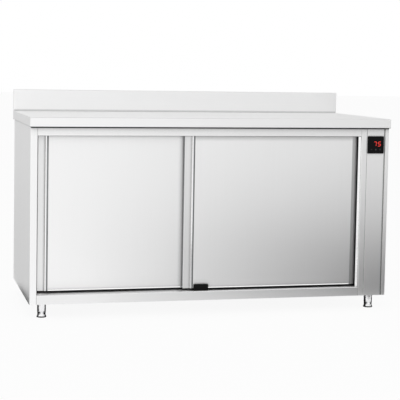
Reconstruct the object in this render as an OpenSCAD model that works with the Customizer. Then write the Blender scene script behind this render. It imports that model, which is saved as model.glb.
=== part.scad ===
// Heated plate cupboard with two sliding doors, a worktop with a rear upstand and a control
// column at its right end. Millimetres, +Z up, front towards -Y, origin on the floor under the
// middle of the worktop.

/* [Cabinet] */
// Length of the worktop
cab_w = 1600; // [1400:10:2000]
// Depth of the worktop
cab_d = 700; // [640:10:800]
// Height of the work surface above the floor
surface_h = 850; // [800:5:950]
// Clear height under the body
leg_h = 62; // [56:1:90]
// How far the worktop stands out in front of the body
front_over = 12; // [6:1:20]
// How far the worktop stands out past each end panel
side_over = 3; // [2:1:10]
// How far the worktop stands out behind the body
back_over = 40; // [30:1:60]

/* [Worktop] */
// Height of the worktop's folded edge
edge_h = 40; // [36:1:60]
// Height of the rear upstand above the work surface
splash_h = 100; // [60:5:150]
// Thickness of the rear upstand
splash_t = 20; // [14:1:30]
// Sheet thickness of the worktop
top_sheet = 1.5; // [1:0.1:2]
// Width of the fold that returns under the edge
top_return = 15; // [13:1:20]
// Thickness of the board glued under the work surface
board_t = 18; // [12:1:24]
// Width of the stiffening channels under the board
channel_w = 60; // [40:5:100]
// Number of stiffening channels under the board
channel_count = 4; // [2:1:6]

/* [Body] */
// Sheet thickness of the body
sheet = 1.2; // [0.8:0.1:1.5]
// Thickness of the insulated left and rear walls
wall_t = 30; // [26:1:50]
// Height of the bottom rail, from the body's underside to the inner floor
floor_t = 40; // [34:1:60]
// Height of the top rail
rail_h = 38; // [37:1:50]
// Height of the fold behind the sill
sill_fold = 20; // [10:1:24]
// Depth of the fold at the top rail's lower edge
rail_return = 20; // [10:1:22]
// Width of the fold along the back panel's top edge
back_return = 20; // [12:1:25]

/* [Control column] */
// Width of the column at the right end
column_w = 130; // [125:1:160]
// Width of the post between the door opening and the fascia
post_w = 27; // [20:1:30]
// Width of the end panel's strip on the front
end_strip = 18; // [14:1:20]
// Width of the shadow joint between fascia and end strip
joint_w = 5; // [3:1:6]
// Depth of the shadow joint
joint_d = 10; // [6:1:12]
// Depth of the folds behind the fascia and the post
fascia_return = 14; // [12:1:20]
// Side of the square display glass
display_s = 76; // [60:1:78]
// Thickness of the display glass
display_t = 3; // [2:0.5:5]
// Distance from the body's top to the top of the display glass
display_drop = 36; // [20:1:60]
// Side of the controller's housing
controller_s = 70; // [50:1:72]
// Depth of the controller's housing
controller_d = 45; // [30:1:60]
// Play between the controller's housing and its window
window_play = 0.4; // [0.2:0.1:1]

/* [Doors] */
// Distance from the body's front to the front door's face
door_recess = 25; // [22:1:30]
// Thickness of a door
door_t = 20; // [18:1:24]
// Space between the two doors
door_gap = 8; // [6:1:10]
// Space between a closed door and its jamb
end_gap = 8; // [4:1:12]
// Overlap of the closed doors
door_overlap = 158; // [120:1:200]
// Space under the doors
sill_gap = 8; // [7:1:14]
// Height of the door that is hidden behind the top rail
door_hide = 8; // [5:0.5:9]
// Space behind the rear door, to where the inner walls start
jamb_past = 5; // [4.5:0.5:8]

/* [Door edges] */
// Width of the finger step at a door's left end
grip_w = 31; // [26:1:40]
// Depth of the finger step
grip_d = 10; // [8:1:12]
// Width of the raised lip beside the finger step
lip_w = 6; // [5:1:10]
// Width of the pull groove between lip and door face
groove_w = 8; // [7:1:14]
// Depth of the pull groove
groove_d = 14; // [12:1:16]
// Width of the sloping fold at a door's right end
fold_w = 17; // [12:1:25]
// Depth of the sloping fold
fold_d = 12; // [8:1:14]

/* [Track and rollers] */
// Height of the double track
track_h = 24; // [23:0.5:26]
// Wall of the track
track_wall = 1.5; // [1:0.1:2]
// How far the track stands out before and behind the doors
track_past = 3; // [2.5:0.5:4]
// Radius of a roller
roller_r = 8; // [7:0.25:9]
// Width of a roller
roller_w = 8; // [6:0.5:8.5]
// Radius of a roller's axle
axle_r = 2.5; // [2:0.25:3]
// Running clearance of a roller on its axle
axle_play = 0.05; // [0.03:0.01:0.08]
// Thickness of a hanger's upright plate
hanger_t = 3; // [2:0.5:4]
// Length of a hanger
hanger_l = 60; // [40:1:80]
// Distance from a door's end to its hanger
hanger_inset = 30; // [20:1:60]
// Thickness of a hanger's foot
hanger_foot = 2; // [1.5:0.5:3]
// Length of a track stop
stop_l = 20; // [10:1:25]

/* [Centre guide] */
// Width of the guide block
guide_w = 65; // [40:1:90]
// Height of the guide's fins above the sill
guide_h = 26; // [20:1:35]
// Thickness of the guide's front fin
fin_t = 6; // [4:1:8]
// Thickness of the guide's base
guide_base = 5; // [3:0.5:6]
// Space between a door and a fin
guide_play = 1.5; // [1:0.25:2]
// Corner radius of the front fin
fin_r = 4; // [2:0.5:6]

/* [Shelf] */
// Height of the shelf's surface above the inner floor
shelf_h = 318; // [200:5:450]
// Height of the shelf's folded edge
shelf_edge = 30; // [20:1:40]
// Space between the shelf and the uprights beside it
shelf_play = 2; // [1:0.5:5]
// Distance from the room's front and back to the shelf
shelf_inset = 12; // [6:1:30]
// Length of an air slot in the shelf
slot_l = 60; // [40:5:90]
// Width of an air slot
slot_w = 8; // [5:1:12]
// Pitch of the air slots along the shelf
slot_pitch = 90; // [80:5:120]
// Number of rows of air slots
slot_rows = 4; // [2:1:6]
// Depth of a shelf upright
upright_d = 10; // [8:1:16]
// Width of a shelf upright
upright_w = 22; // [16:1:30]
// Distance from the room's front or back to an upright
upright_inset = 60; // [30:5:120]
// Pitch of the hook slots in an upright
hook_pitch = 40; // [30:5:60]
// Length of a shelf clip's ledge
clip_l = 20; // [12:1:30]
// Thickness of a shelf clip
clip_t = 3; // [2:0.5:4]
// Height of a shelf clip's tab
clip_h = 26; // [18:1:34]

/* [Feet] */
// Radius of a foot's fixed tube
foot_r = 18.5; // [16:0.5:22]
// Radius of a foot's base
base_r = 21; // [20:0.5:26]
// Radius of the foot's waist
waist_r = 17.5; // [14:0.5:18]
// Height of the turning part of a foot
adjuster_h = 24; // [20:1:30]
// Radius of the adjuster's stem
stem_r = 8; // [6:0.5:10]
// Running clearance of the stem in its tube
stem_play = 0.05; // [0.03:0.01:0.08]
// Radius of the stud that holds a foot
stud_r = 5; // [4:0.5:6]
// Distance from an end panel to a foot's axis
foot_inset_x = 58; // [45:1:80]
// Distance from the body's front or back to a foot's axis
foot_inset_y = 52; // [45:1:80]
// Side of a foot's mounting plate
plate_s = 70; // [50:1:80]
// Thickness of a foot's mounting plate
plate_t = 4; // [3:0.5:6]

/* [Air heater] */
// Distance from the middle of the room's depth back to the fan's axis
fan_y = 70; // [-60:5:90]
// Height of the fan's axis above the inner floor
fan_z = 170; // [140:5:250]
// Radius of the impeller
impeller_r = 70; // [50:1:75]
// Width of the impeller's blades
impeller_w = 30; // [20:1:32]
// Thickness of the impeller's disc, ring and blades
impeller_t = 1.5; // [1:0.25:2.5]
// Space between the impeller's disc and the duct's rear wall
impeller_gap = 16; // [10:1:20]
// Number of blades
blade_count = 12; // [8:1:20]
// Radius of the motor's shaft
shaft_r = 4; // [3:0.5:5]
// Running clearance of the impeller on the shaft
shaft_play = 0.05; // [0.03:0.01:0.08]
// Radius of the motor's housing
motor_r = 38; // [30:1:45]
// Length of the motor's housing
motor_l = 34; // [25:1:36]
// Radius of the heating element's ring
heater_r = 92; // [85:1:98]
// Radius of the heating element's tube
heater_tube = 4.25; // [3:0.25:6]
// Radius of the element's two cold ends
heater_end_r = 6; // [5:0.25:8]
// Distance between the element's cold ends
heater_ends = 40; // [30:2:60]
// Distance from the duct's rear wall to the element's ring
heater_gap = 28; // [20:1:32]
// Width of the air duct
duct_w = 240; // [225:5:280]
// Height of the air duct
duct_h = 560; // [500:10:600]
// Depth of the air duct
duct_d = 66; // [64:1:72]
// Number of outlet slots
outlet_count = 6; // [3:1:8]
// Pitch of the outlet slots
vent_pitch = 24; // [20:1:28]
// Length of the temperature probe
probe_l = 60; // [40:5:100]
// Radius of the temperature probe
probe_r = 3; // [2:0.5:4]
// Distance from the partition to the probe's axis
probe_stand = 6; // [5:0.5:10]

/* [Electrics] */
// Bore radius of the cable gland
gland_bore = 5; // [4:0.5:6]
// Radius of the gland's thread
gland_r = 8; // [7:0.5:10]
// Height of the gland's axis above the body's underside
gland_z = 70; // [50:5:150]
// Length of the terminal block
terminal_l = 70; // [50:5:90]
// Number of terminals
terminal_count = 6; // [4:1:10]
// Width of the terminal block
terminal_w = 26; // [20:1:32]
// Height of a terminal
terminal_h = 28; // [20:1:36]
// Width of the relay
relay_w = 70; // [50:1:80]
// Height of the relay
relay_h = 80; // [60:1:100]
// Depth of the relay
relay_d = 38; // [30:1:50]
// Height of the relay above the inner floor
relay_z = 260; // [150:10:400]

/* [Hidden] */
$fn = 64;

// Space left between faces that slide or turn past each other
seat = 0.3;
// Overlap that keeps a cut clean
eps = 1;

// Outer planes of the worktop and the body
top_x = cab_w / 2;
top_front = -cab_d / 2;
top_back = cab_d / 2;
body_x = top_x - side_over;
body_front = top_front + front_over;
body_back = top_back - back_over;
body_top = surface_h - edge_h;

// Planes of the two doors: index 0 is the front door at the right, 1 the rear door at the left
FRONT = 0;
REAR = 1;
door_y = [body_front + door_recess, body_front + door_recess + door_t + door_gap];

// Inner room
room_left = -body_x + wall_t;
room_right = body_x - column_w;
room_front = door_y[REAR] + door_t + jamb_past;
room_back = body_back - wall_t;
room_floor = leg_h + floor_t;
room_top = body_top - rail_h;

// Planes just inside the outer sheets
in_x = body_x - sheet;
in_front = body_front + sheet;
in_back = body_back - sheet;
in_bottom = leg_h + sheet;
in_top = body_top - sheet;

// Height of the folds that stand above the feet's mounting plates
fold_z = [in_bottom + plate_t, in_top];

// Doors
door_w = (room_right - room_left - 2 * end_gap + door_overlap) / 2;
door_x = [room_right - end_gap - door_w, room_left + end_gap];
door_bottom = room_floor + sill_gap;
door_top = room_top + door_hide;
door_h = door_top - door_bottom;
skin_d = door_t - sheet;
face_u = grip_w + lip_w + groove_w;
fold_u = door_w - fold_w;

// Track: the roller runs on the ledge in front of each hanger plate
track_bottom = in_top - track_h;
track_y = [door_y[FRONT] - track_past, door_y[REAR] + door_t + track_past];
track_mid = door_y[REAR] - door_gap / 2;
lane_y = [door_y[FRONT] + door_t / 2, door_y[REAR] + door_t / 2];
roller_gap = 0.5;
slot_play = 1;
ledge_z = track_bottom + track_wall;
axle_z = ledge_z + seat + roller_r;
axle_head_t = 1;
axle_head_r = axle_r + 1.5;
hanger_u = [hanger_inset, door_w - hanger_inset - hanger_l];

// Column
fascia_x = [room_right + post_w, body_x - end_strip - joint_w];
fascia_mid = (fascia_x[0] + fascia_x[1]) / 2;
display_z = body_top - display_drop - display_s / 2;
part_x = room_right + sheet;

// Shelf
shelf_top = room_floor + shelf_h;
shelf_bottom = shelf_top - shelf_edge;
shelf_x = [room_left + upright_d + shelf_play, room_right - upright_d - shelf_play];
shelf_y = [room_front + shelf_inset, room_back - shelf_inset];
upright_y = [room_front + upright_inset, room_back - upright_inset - upright_w];
upright_z = [room_floor + 8, room_top - 8];

// Feet
foot_x = body_x - foot_inset_x;
foot_y = [body_front + foot_inset_y, body_back - foot_inset_y];
tube_cap = 3;
stem_l = leg_h - adjuster_h - tube_cap - 1.5;
stud_l = sheet + plate_t + 8;
stud_play = 0.2;

// Air heater
fan_c = [(room_front + room_back) / 2 + fan_y, room_floor + fan_z];
duct_x = [part_x, part_x + duct_d];
duct_y = [fan_c[0] - duct_w / 2, fan_c[0] + duct_w / 2];
duct_z = [fan_c[1] - duct_w / 2, fan_c[1] - duct_w / 2 + duct_h];
fan_x = duct_x[1] - sheet - impeller_gap;
heater_half = asin(heater_ends / 2 / heater_r);

// Colours
steel = [0.84, 0.85, 0.86];
inner_steel = [0.72, 0.73, 0.74];
polished = [0.9, 0.91, 0.92];
zinc = [0.62, 0.64, 0.66];
wool = [0.78, 0.72, 0.5];
board = [0.72, 0.58, 0.4];
plastic = [0.08, 0.08, 0.085];
nylon = [0.88, 0.88, 0.84];

// A box from its two ends along each axis
module block(x, y, z) {
    translate([x[0], y[0], z[0]])
        cube([x[1] - x[0], y[1] - y[0], z[1] - z[0]]);
}

// A slot with round ends along X, through the given span of Z
module round_slot(length, width, z) {
    span = (length - width) / 2;
    block([-span, span], [-width / 2, width / 2], z);
    for (side = [-1, 1])
        translate([side * span, 0, z[0]])
            cylinder(h = z[1] - z[0], d = width, $fn = 24);
}

// Folded worktop: edge on all four sides, hollow upstand along the back
module worktop() {
    edge_z = [body_top, surface_h];
    splash_y = top_back - splash_t;
    splash_z = surface_h + splash_h;
    color(steel)
        union() {
            block([-top_x, top_x], [top_front, top_front + top_sheet], edge_z);
            block([-top_x, top_x], [top_front, top_front + top_return],
                  [body_top, body_top + top_sheet]);
            block([-top_x, top_x], [top_front, splash_y + top_sheet],
                  [surface_h - top_sheet, surface_h]);
            block([-top_x, top_x], [splash_y, splash_y + top_sheet],
                  [surface_h - top_sheet, splash_z]);
            block([-top_x, top_x], [splash_y, top_back], [splash_z - top_sheet, splash_z]);
            block([-top_x, top_x], [top_back - top_sheet, top_back], [body_top, splash_z]);
            block([-top_x, top_x], [top_back - top_return, top_back],
                  [body_top, body_top + top_sheet]);
            for (side = [-1, 1])
                scale([side, 1, 1])
                    worktop_end(edge_z, splash_y, splash_z);
        }
}

// The right-hand end of the worktop: skirt, its return and the upstand's end
module worktop_end(edge_z, splash_y, splash_z) {
    block([top_x - top_sheet, top_x], [top_front, top_back], edge_z);
    block([top_x - top_return, top_x], [top_front, top_back], [body_top, body_top + top_sheet]);
    block([top_x - top_sheet, top_x], [splash_y, top_back], [surface_h - top_sheet, splash_z]);
}

board_z = [surface_h - top_sheet - board_t, surface_h - top_sheet];

module worktop_board() {
    in = top_sheet + seat;
    color(board)
        block([-top_x + in, top_x - in], [top_front + in, top_back - in], board_z);
}

// Channels that carry the board on the top rail and the back panel
module worktop_channels() {
    pitch = (2 * body_x - 4 * channel_w) / (channel_count - 1);
    color(zinc)
        for (n = [0 : channel_count - 1]) {
            x = -body_x + 2 * channel_w + n * pitch;
            difference() {
                block([x - channel_w / 2, x + channel_w / 2],
                      [top_front + top_return, top_back - top_return],
                      [body_top, board_z[0]]);
                block([x - channel_w / 2 + top_sheet, x + channel_w / 2 - top_sheet],
                      [top_front, top_back],
                      [body_top - eps, board_z[0] - top_sheet]);
            }
        }
}

module left_side_panel() {
    color(steel)
        block([-body_x, -in_x], [in_front, in_back], [leg_h, body_top]);
}

module left_insulation() {
    color(wool)
        block([-in_x, room_left - sheet], [in_front, in_back - (wall_t - 2 * sheet)],
              [room_floor - sheet, in_top]);
}

module inner_left_wall() {
    color(inner_steel)
        block([room_left - sheet, room_left], [room_front, room_back + sheet],
              [room_floor - sheet, room_top + sheet]);
}

// Folded post: front strip and jamb
module left_post() {
    color(polished)
        union() {
            block([-body_x, room_left], [body_front, in_front], [leg_h, body_top]);
            block([room_left - sheet, room_left], [body_front, room_front], fold_z);
        }
}

// End panel with its front strip and the floor of the shadow joint
module right_side_panel() {
    strip_x = body_x - end_strip;
    color(steel)
        union() {
            block([in_x, body_x], [body_front, in_back], [leg_h, body_top]);
            block([strip_x, body_x], [body_front, in_front], [leg_h, body_top]);
            block([strip_x, strip_x + sheet], [body_front, body_front + joint_d], fold_z);
            block([fascia_x[1], strip_x + sheet],
                  [body_front + joint_d - sheet, body_front + joint_d], fold_z);
        }
}

right_wool_t = 20;

module right_insulation() {
    color(wool)
        block([in_x - right_wool_t, in_x], [room_front, room_back], [room_floor, room_top]);
}

module right_post() {
    color(polished)
        union() {
            block([room_right, fascia_x[0]], [body_front, in_front], [leg_h, body_top]);
            block([room_right, part_x], [body_front, room_front], fold_z);
            block([fascia_x[0] - sheet, fascia_x[0]], [body_front, body_front + fascia_return],
                  fold_z);
        }
}

// Front cover of the column, with the controller's square window
module control_fascia() {
    half = controller_s / 2 + window_play;
    color(steel)
        difference() {
            union() {
                block(fascia_x, [body_front, in_front], [leg_h, body_top]);
                for (x = [fascia_x[0], fascia_x[1] - sheet])
                    block([x, x + sheet], [body_front, body_front + fascia_return], fold_z);
            }
            block([fascia_mid - half, fascia_mid + half],
                  [body_front - eps, in_front + eps],
                  [display_z - half, display_z + half]);
        }
}

// Wall between the room and the column: round intake in front of the fan, outlet slots above
module duct_partition() {
    intake_r = impeller_r * 0.83;
    bar_pitch = slot_w + 6;
    bars = floor(intake_r / bar_pitch);
    color(inner_steel)
        difference() {
            block([room_right, part_x], [room_front, room_back + sheet], [in_bottom, in_top]);
            for (n = [-bars : bars]) {
                half = sqrt(intake_r * intake_r - n * n * bar_pitch * bar_pitch);
                block([room_right - eps, part_x + eps], [fan_c[0] - half, fan_c[0] + half],
                      [fan_c[1] + n * bar_pitch - slot_w / 2, fan_c[1] + n * bar_pitch + slot_w / 2]);
            }
            for (n = [0 : outlet_count - 1]) {
                z = duct_z[1] - 20 - n * vent_pitch;
                block([room_right - eps, part_x + eps], [duct_y[0] + 20, duct_y[1] - 20],
                      [z - slot_w, z]);
            }
        }
}

// Top rail: front strip, fold under it and the flange that carries the track
module top_rail() {
    color(steel)
        union() {
            block([room_left, room_right], [body_front, in_front], [room_top, body_top]);
            block([room_left, room_right], [body_front, body_front + rail_return],
                  [room_top, room_top + sheet]);
            block([room_left, room_right], [body_front, room_front], [in_top, body_top]);
        }
}

// Bottom rail: front strip, sill and the fold behind it
module bottom_rail() {
    color(steel)
        union() {
            block([room_left, room_right], [body_front, in_front], [leg_h, room_floor]);
            block([room_left, room_right], [body_front, room_front],
                  [room_floor - sheet, room_floor]);
            block([room_left, room_right], [room_front - sheet, room_front],
                  [room_floor - sill_fold, room_floor]);
        }
}

// Double track: one slotted lane above each door
module door_track() {
    x = [room_left, room_right];
    color(zinc)
        union() {
            block(x, track_y, [in_top - track_wall, in_top]);
            block(x, [track_y[0], track_y[0] + track_wall], [track_bottom, in_top]);
            block(x, [track_mid - track_wall / 2, track_mid + track_wall / 2],
                  [track_bottom, in_top]);
            block(x, [track_y[1] - track_wall, track_y[1]], [track_bottom, in_top]);
            for (lane = [FRONT, REAR]) {
                lane_ends = lane == FRONT ? [track_y[0], track_mid] : [track_mid, track_y[1]];
                block(x, [lane_ends[0], lane_y[lane] - slot_play], [track_bottom, ledge_z]);
                block(x, [lane_y[lane] + hanger_t + slot_play, lane_ends[1]],
                      [track_bottom, ledge_z]);
            }
        }
}

// Rubber stops on the ledges, one past each end of both lanes
module track_stops() {
    near = room_left + end_gap + hanger_inset - seat;
    far = room_right - end_gap - hanger_inset + seat;
    color(plastic)
        for (lane = [FRONT, REAR])
            for (x = [[near - stop_l, near], [far, far + stop_l]])
                block(x, [lane_y[lane] - slot_play - roller_w, lane_y[lane] + hanger_t],
                      [ledge_z, axle_z + axle_head_r]);
}

// Upright fin with rounded upper corners, in the plane of the doors
module guide_fin(y) {
    half = guide_w / 2;
    rotate([90, 0, 0])
        translate([0, 0, -y[1]])
            linear_extrude(y[1] - y[0])
                union() {
                    translate([-half, 0])
                        square([guide_w, guide_h - fin_r]);
                    translate([fin_r - half, 0])
                        square([guide_w - 2 * fin_r, guide_h]);
                    for (side = [-1, 1])
                        translate([side * (half - fin_r), guide_h - fin_r])
                            circle(r = fin_r, $fn = 32);
                }
}

// Block on the sill that keeps the lower edges of both doors in line
module centre_guide() {
    front_fin = [door_y[FRONT] - guide_play - fin_t, door_y[FRONT] - guide_play];
    rear_fin = [door_y[REAR] + door_t + guide_play, room_front];
    color(plastic)
        translate([(room_left + room_right) / 2, 0, room_floor])
            union() {
                block([-guide_w / 2, guide_w / 2], [front_fin[0], rear_fin[1]], [0, guide_base]);
                guide_fin(front_fin);
                guide_fin([door_y[FRONT] + door_t + guide_play, door_y[REAR] - guide_play]);
                guide_fin(rear_fin);
            }
}

// Places its children at each foot's axis
module at_feet() {
    for (x = [-foot_x, foot_x])
        for (y = foot_y)
            translate([x, y, 0])
                children();
}

module base_panel() {
    color(steel)
        difference() {
            block([-in_x, in_x], [in_front, in_back], [leg_h, in_bottom]);
            at_feet()
                translate([0, 0, leg_h - eps])
                    cylinder(h = sheet + 2 * eps, r = stud_r + stud_play);
        }
}

module base_insulation() {
    clear = plate_s / 2 + 2;
    color(wool)
        difference() {
            block([-in_x, room_right], [room_front, in_back], [in_bottom, room_floor - sheet]);
            at_feet()
                block([-clear, clear], [-clear, clear], [leg_h, leg_h + stud_l + 2]);
        }
}

module inner_floor() {
    color(inner_steel)
        block([room_left, room_right], [room_front, room_back],
              [room_floor - sheet, room_floor]);
}

// Ceiling sheet with the upturned front edge behind the track
module inner_ceiling() {
    color(inner_steel)
        union() {
            block([room_left, room_right], [room_front, room_back], [room_top, room_top + sheet]);
            block([room_left, room_right], [room_front, room_front + sheet], [room_top, in_top]);
        }
}

module top_insulation() {
    color(wool)
        block([room_left, room_right], [room_front + sheet, room_back],
              [room_top + sheet, in_top]);
}

module back_panel() {
    color(steel)
        difference() {
            union() {
                block([-body_x, body_x], [in_back, body_back], [leg_h, body_top]);
                block([-in_x, in_x], [body_back - back_return, in_back], [in_top, body_top]);
            }
            translate([fascia_mid, body_back + eps, leg_h + gland_z])
                rotate([90, 0, 0])
                    cylinder(h = sheet + 2 * eps, r = gland_r + stud_play);
        }
}

module back_insulation() {
    color(wool)
        block([-in_x, room_right], [room_back + sheet, in_back], [room_floor - sheet, in_top]);
}

module inner_back_wall() {
    color(inner_steel)
        block([room_left, room_right], [room_back, room_back + sheet],
              [room_floor - sheet, room_top + sheet]);
}

// Domed screw heads around the back panel
module back_screws() {
    rows = 4;
    columns = 7;
    margin = 14;
    pitch_x = 2 * (body_x - margin) / (columns - 1);
    pitch_z = (body_top - leg_h - 2 * margin) / (rows - 1);
    color(zinc)
        for (col = [0 : columns - 1])
            for (row = [0 : rows - 1])
                if (col == 0 || col == columns - 1 || row == 0 || row == rows - 1)
                    translate([-body_x + margin + col * pitch_x, body_back,
                               leg_h + margin + row * pitch_z])
                        rotate([-90, 0, 0])
                            cylinder(h = 2, r1 = 4.5, r2 = 2.5, $fn = 24);
}

// Places its children against the left wall and, mirrored, against the right wall
module at_room_sides() {
    translate([room_left, 0, 0])
        children();
    translate([room_right, 0, 0])
        mirror([1, 0, 0])
            children();
}

// Channel-shaped uprights with hook slots
module shelf_uprights() {
    hooks = floor((upright_z[1] - upright_z[0] - hook_pitch) / hook_pitch);
    color(inner_steel)
        at_room_sides()
            for (y = upright_y)
                difference() {
                    block([0, upright_d], [y, y + upright_w], upright_z);
                    block([-eps, upright_d - sheet], [y + sheet, y + upright_w - sheet],
                          [upright_z[0] - eps, upright_z[1] + eps]);
                    for (n = [1 : hooks])
                        block([upright_d - 2 * sheet, upright_d + eps],
                              [y + upright_w / 2 - 2, y + upright_w / 2 + 2],
                              [upright_z[0] + n * hook_pitch - 6, upright_z[0] + n * hook_pitch + 6]);
                }
}

// Angle clips on the uprights: a tab and the ledge under the shelf's edge
module shelf_clips() {
    top = shelf_bottom - seat;
    color(polished)
        at_room_sides()
            for (y = upright_y)
                union() {
                    block([upright_d, upright_d + clip_l], [y + sheet, y + upright_w - sheet],
                          [top - clip_t, top]);
                    block([upright_d, upright_d + sheet], [y + sheet, y + upright_w - sheet],
                          [top - clip_h, top]);
                }
}

// Slotted shelf with folded edges
module shelf() {
    columns = floor((shelf_x[1] - shelf_x[0] - slot_pitch) / slot_pitch);
    middle = (shelf_x[0] + shelf_x[1]) / 2;
    row_pitch = (shelf_y[1] - shelf_y[0]) / (slot_rows + 1);
    color(inner_steel)
        difference() {
            block(shelf_x, shelf_y, [shelf_bottom, shelf_top]);
            block([shelf_x[0] + sheet, shelf_x[1] - sheet], [shelf_y[0] + sheet, shelf_y[1] - sheet],
                  [shelf_bottom - eps, shelf_top - sheet]);
            for (col = [0 : columns - 1])
                for (row = [1 : slot_rows])
                    translate([middle + (col - (columns - 1) / 2) * slot_pitch,
                               shelf_y[0] + row * row_pitch, 0])
                        round_slot(slot_l, slot_w, [shelf_top - sheet - eps, shelf_top + eps]);
        }
}

// Open-fronted air duct on the column side of the partition
module air_duct() {
    color(zinc)
        difference() {
            block(duct_x, duct_y, duct_z);
            block([duct_x[0] - eps, duct_x[1] - sheet], [duct_y[0] + sheet, duct_y[1] - sheet],
                  [duct_z[0] + sheet, duct_z[1] - sheet]);
            translate([duct_x[1] - sheet - eps, fan_c[0], fan_c[1]])
                rotate([0, 90, 0])
                    cylinder(h = sheet + 2 * eps, r = shaft_r + 4);
            for (side = [-1, 1])
                translate([duct_x[1] - sheet - eps, fan_c[0] + side * heater_ends / 2,
                           fan_c[1] - heater_r * cos(heater_half)])
                    rotate([0, 90, 0])
                        cylinder(h = sheet + 2 * eps, r = heater_end_r + seat);
        }
}

// Ring-shaped tubular element around the impeller, with two ends through the duct's wall
module heating_element() {
    ring_x = duct_x[1] - sheet - heater_gap;
    end_x = ring_x - heater_end_r;
    color([0.35, 0.33, 0.32])
        translate([0, fan_c[0], fan_c[1]])
            union() {
                translate([ring_x, 0, 0])
                    rotate([0, 90, 0])
                        rotate([0, 0, heater_half])
                            rotate_extrude(angle = 360 - 2 * heater_half)
                                translate([heater_r, 0])
                                    circle(r = heater_tube, $fn = 32);
                for (side = [-1, 1])
                    translate([end_x, side * heater_ends / 2, -heater_r * cos(heater_half)])
                        rotate([0, 90, 0])
                            cylinder(h = duct_x[1] + 12 - end_x, r = heater_end_r, $fn = 32);
            }
}

// Motor on the duct's rear wall, its shaft reaching into the duct
module fan_motor() {
    flange = 1.5;
    color(zinc)
        translate([duct_x[1], fan_c[0], fan_c[1]])
            rotate([0, 90, 0])
                union() {
                    cylinder(h = flange, r = motor_r + 8);
                    cylinder(h = motor_l, r = motor_r);
                    translate([0, 0, fan_x - impeller_w - 2 - duct_x[1]])
                        cylinder(h = duct_x[1] - fan_x + impeller_w + 4, r = shaft_r);
                }
}

// Radial impeller: back disc, blades, front ring and a bored hub
module fan_impeller() {
    hub_r = shaft_r + 7;
    color([0.75, 0.75, 0.76])
        translate([fan_x, fan_c[0], fan_c[1]])
            rotate([0, -90, 0])
                difference() {
                    union() {
                        cylinder(h = impeller_t, r = impeller_r);
                        cylinder(h = impeller_w, r = hub_r);
                        for (n = [0 : blade_count - 1])
                            rotate([0, 0, n * 360 / blade_count])
                                translate([impeller_r * 0.5, -impeller_t / 2, 0])
                                    cube([impeller_r * 0.5 - 2, impeller_t, impeller_w]);
                        translate([0, 0, impeller_w - impeller_t])
                            difference() {
                                cylinder(h = impeller_t, r = impeller_r);
                                translate([0, 0, -eps])
                                    cylinder(h = impeller_t + 2 * eps, r = impeller_r * 0.75);
                            }
                    }
                    translate([0, 0, -eps])
                        cylinder(h = impeller_w + 2 * eps, r = shaft_r + shaft_play);
                }
}

// Sensor rod held by its clip inside the duct
module temperature_probe() {
    color(polished)
        translate([part_x, duct_y[0] + 24, duct_z[0] + duct_h * 0.55])
            union() {
                translate([probe_stand, 0, -probe_l / 2])
                    cylinder(h = probe_l, r = probe_r, $fn = 32);
                block([0, probe_stand + probe_r], [-probe_r - 2, probe_r + 2],
                      [-probe_r - 1, probe_r + 1]);
            }
}

module controller_body() {
    half = controller_s / 2;
    color(plastic)
        translate([fascia_mid, 0, display_z])
            union() {
                block([-half, half], [body_front, body_front + controller_d], [-half, half]);
                block([-half + 6, half - 6],
                      [body_front + controller_d, body_front + controller_d + 8], [-half + 8, -half + 22]);
            }
}

module display_glass() {
    half = display_s / 2;
    color([0.02, 0.02, 0.025])
        translate([fascia_mid, 0, display_z])
            block([-half, half], [body_front - display_t, body_front], [-half, half]);
}

// Row of terminals on the base panel, inside the column
module terminal_block() {
    pitch = terminal_l / terminal_count;
    color(nylon)
        translate([part_x + 22, room_front + 20, in_bottom])
            union() {
                block([0, terminal_w], [0, terminal_l], [0, terminal_h * 0.4]);
                for (n = [0 : terminal_count - 1])
                    block([terminal_w * 0.15, terminal_w * 0.85],
                          [(n + 0.1) * pitch, (n + 0.9) * pitch], [0, terminal_h]);
            }
}

// Switching relay on the partition, in front of the duct
module power_relay() {
    color([0.2, 0.22, 0.24])
        translate([part_x, room_front + 40, room_floor + relay_z])
            union() {
                block([0, relay_d * 0.15], [0, relay_w], [0, relay_h]);
                block([0, relay_d], [relay_w * 0.12, relay_w * 0.88],
                      [relay_h * 0.1, relay_h * 0.9]);
                block([0, relay_d * 0.8], [relay_w * 0.17, relay_w * 0.83],
                      [relay_h * 0.03, relay_h * 0.97]);
            }
}

// Cable gland in the back panel: outer hexagon, dome, thread and locknut, with a through bore
module cable_gland() {
    hex_r = gland_r + 5;
    hex_t = 6;
    dome_l = 12;
    thread_l = 12;
    nut_t = 4;
    color([0.25, 0.26, 0.28])
        translate([fascia_mid, body_back, leg_h + gland_z])
            rotate([-90, 0, 0])
                difference() {
                    union() {
                        cylinder(h = hex_t, r = hex_r, $fn = 6);
                        translate([0, 0, hex_t])
                            cylinder(h = dome_l, r1 = hex_r - 2, r2 = gland_r - 0.5);
                        translate([0, 0, -thread_l])
                            cylinder(h = thread_l, r = gland_r);
                        translate([0, 0, -sheet - nut_t])
                            cylinder(h = nut_t, r = hex_r, $fn = 6);
                    }
                    translate([0, 0, -thread_l - eps])
                        cylinder(h = thread_l + hex_t + dome_l + 2 * eps, r = gland_bore);
                }
}

// Plates inside the body that spread each foot's load
module foot_plates() {
    half = plate_s / 2;
    color(zinc)
        at_feet()
            difference() {
                block([-half, half], [-half, half], [in_bottom, in_bottom + plate_t]);
                translate([0, 0, in_bottom - eps])
                    cylinder(h = plate_t + 2 * eps, r = stud_r + stud_play);
            }
}

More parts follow.
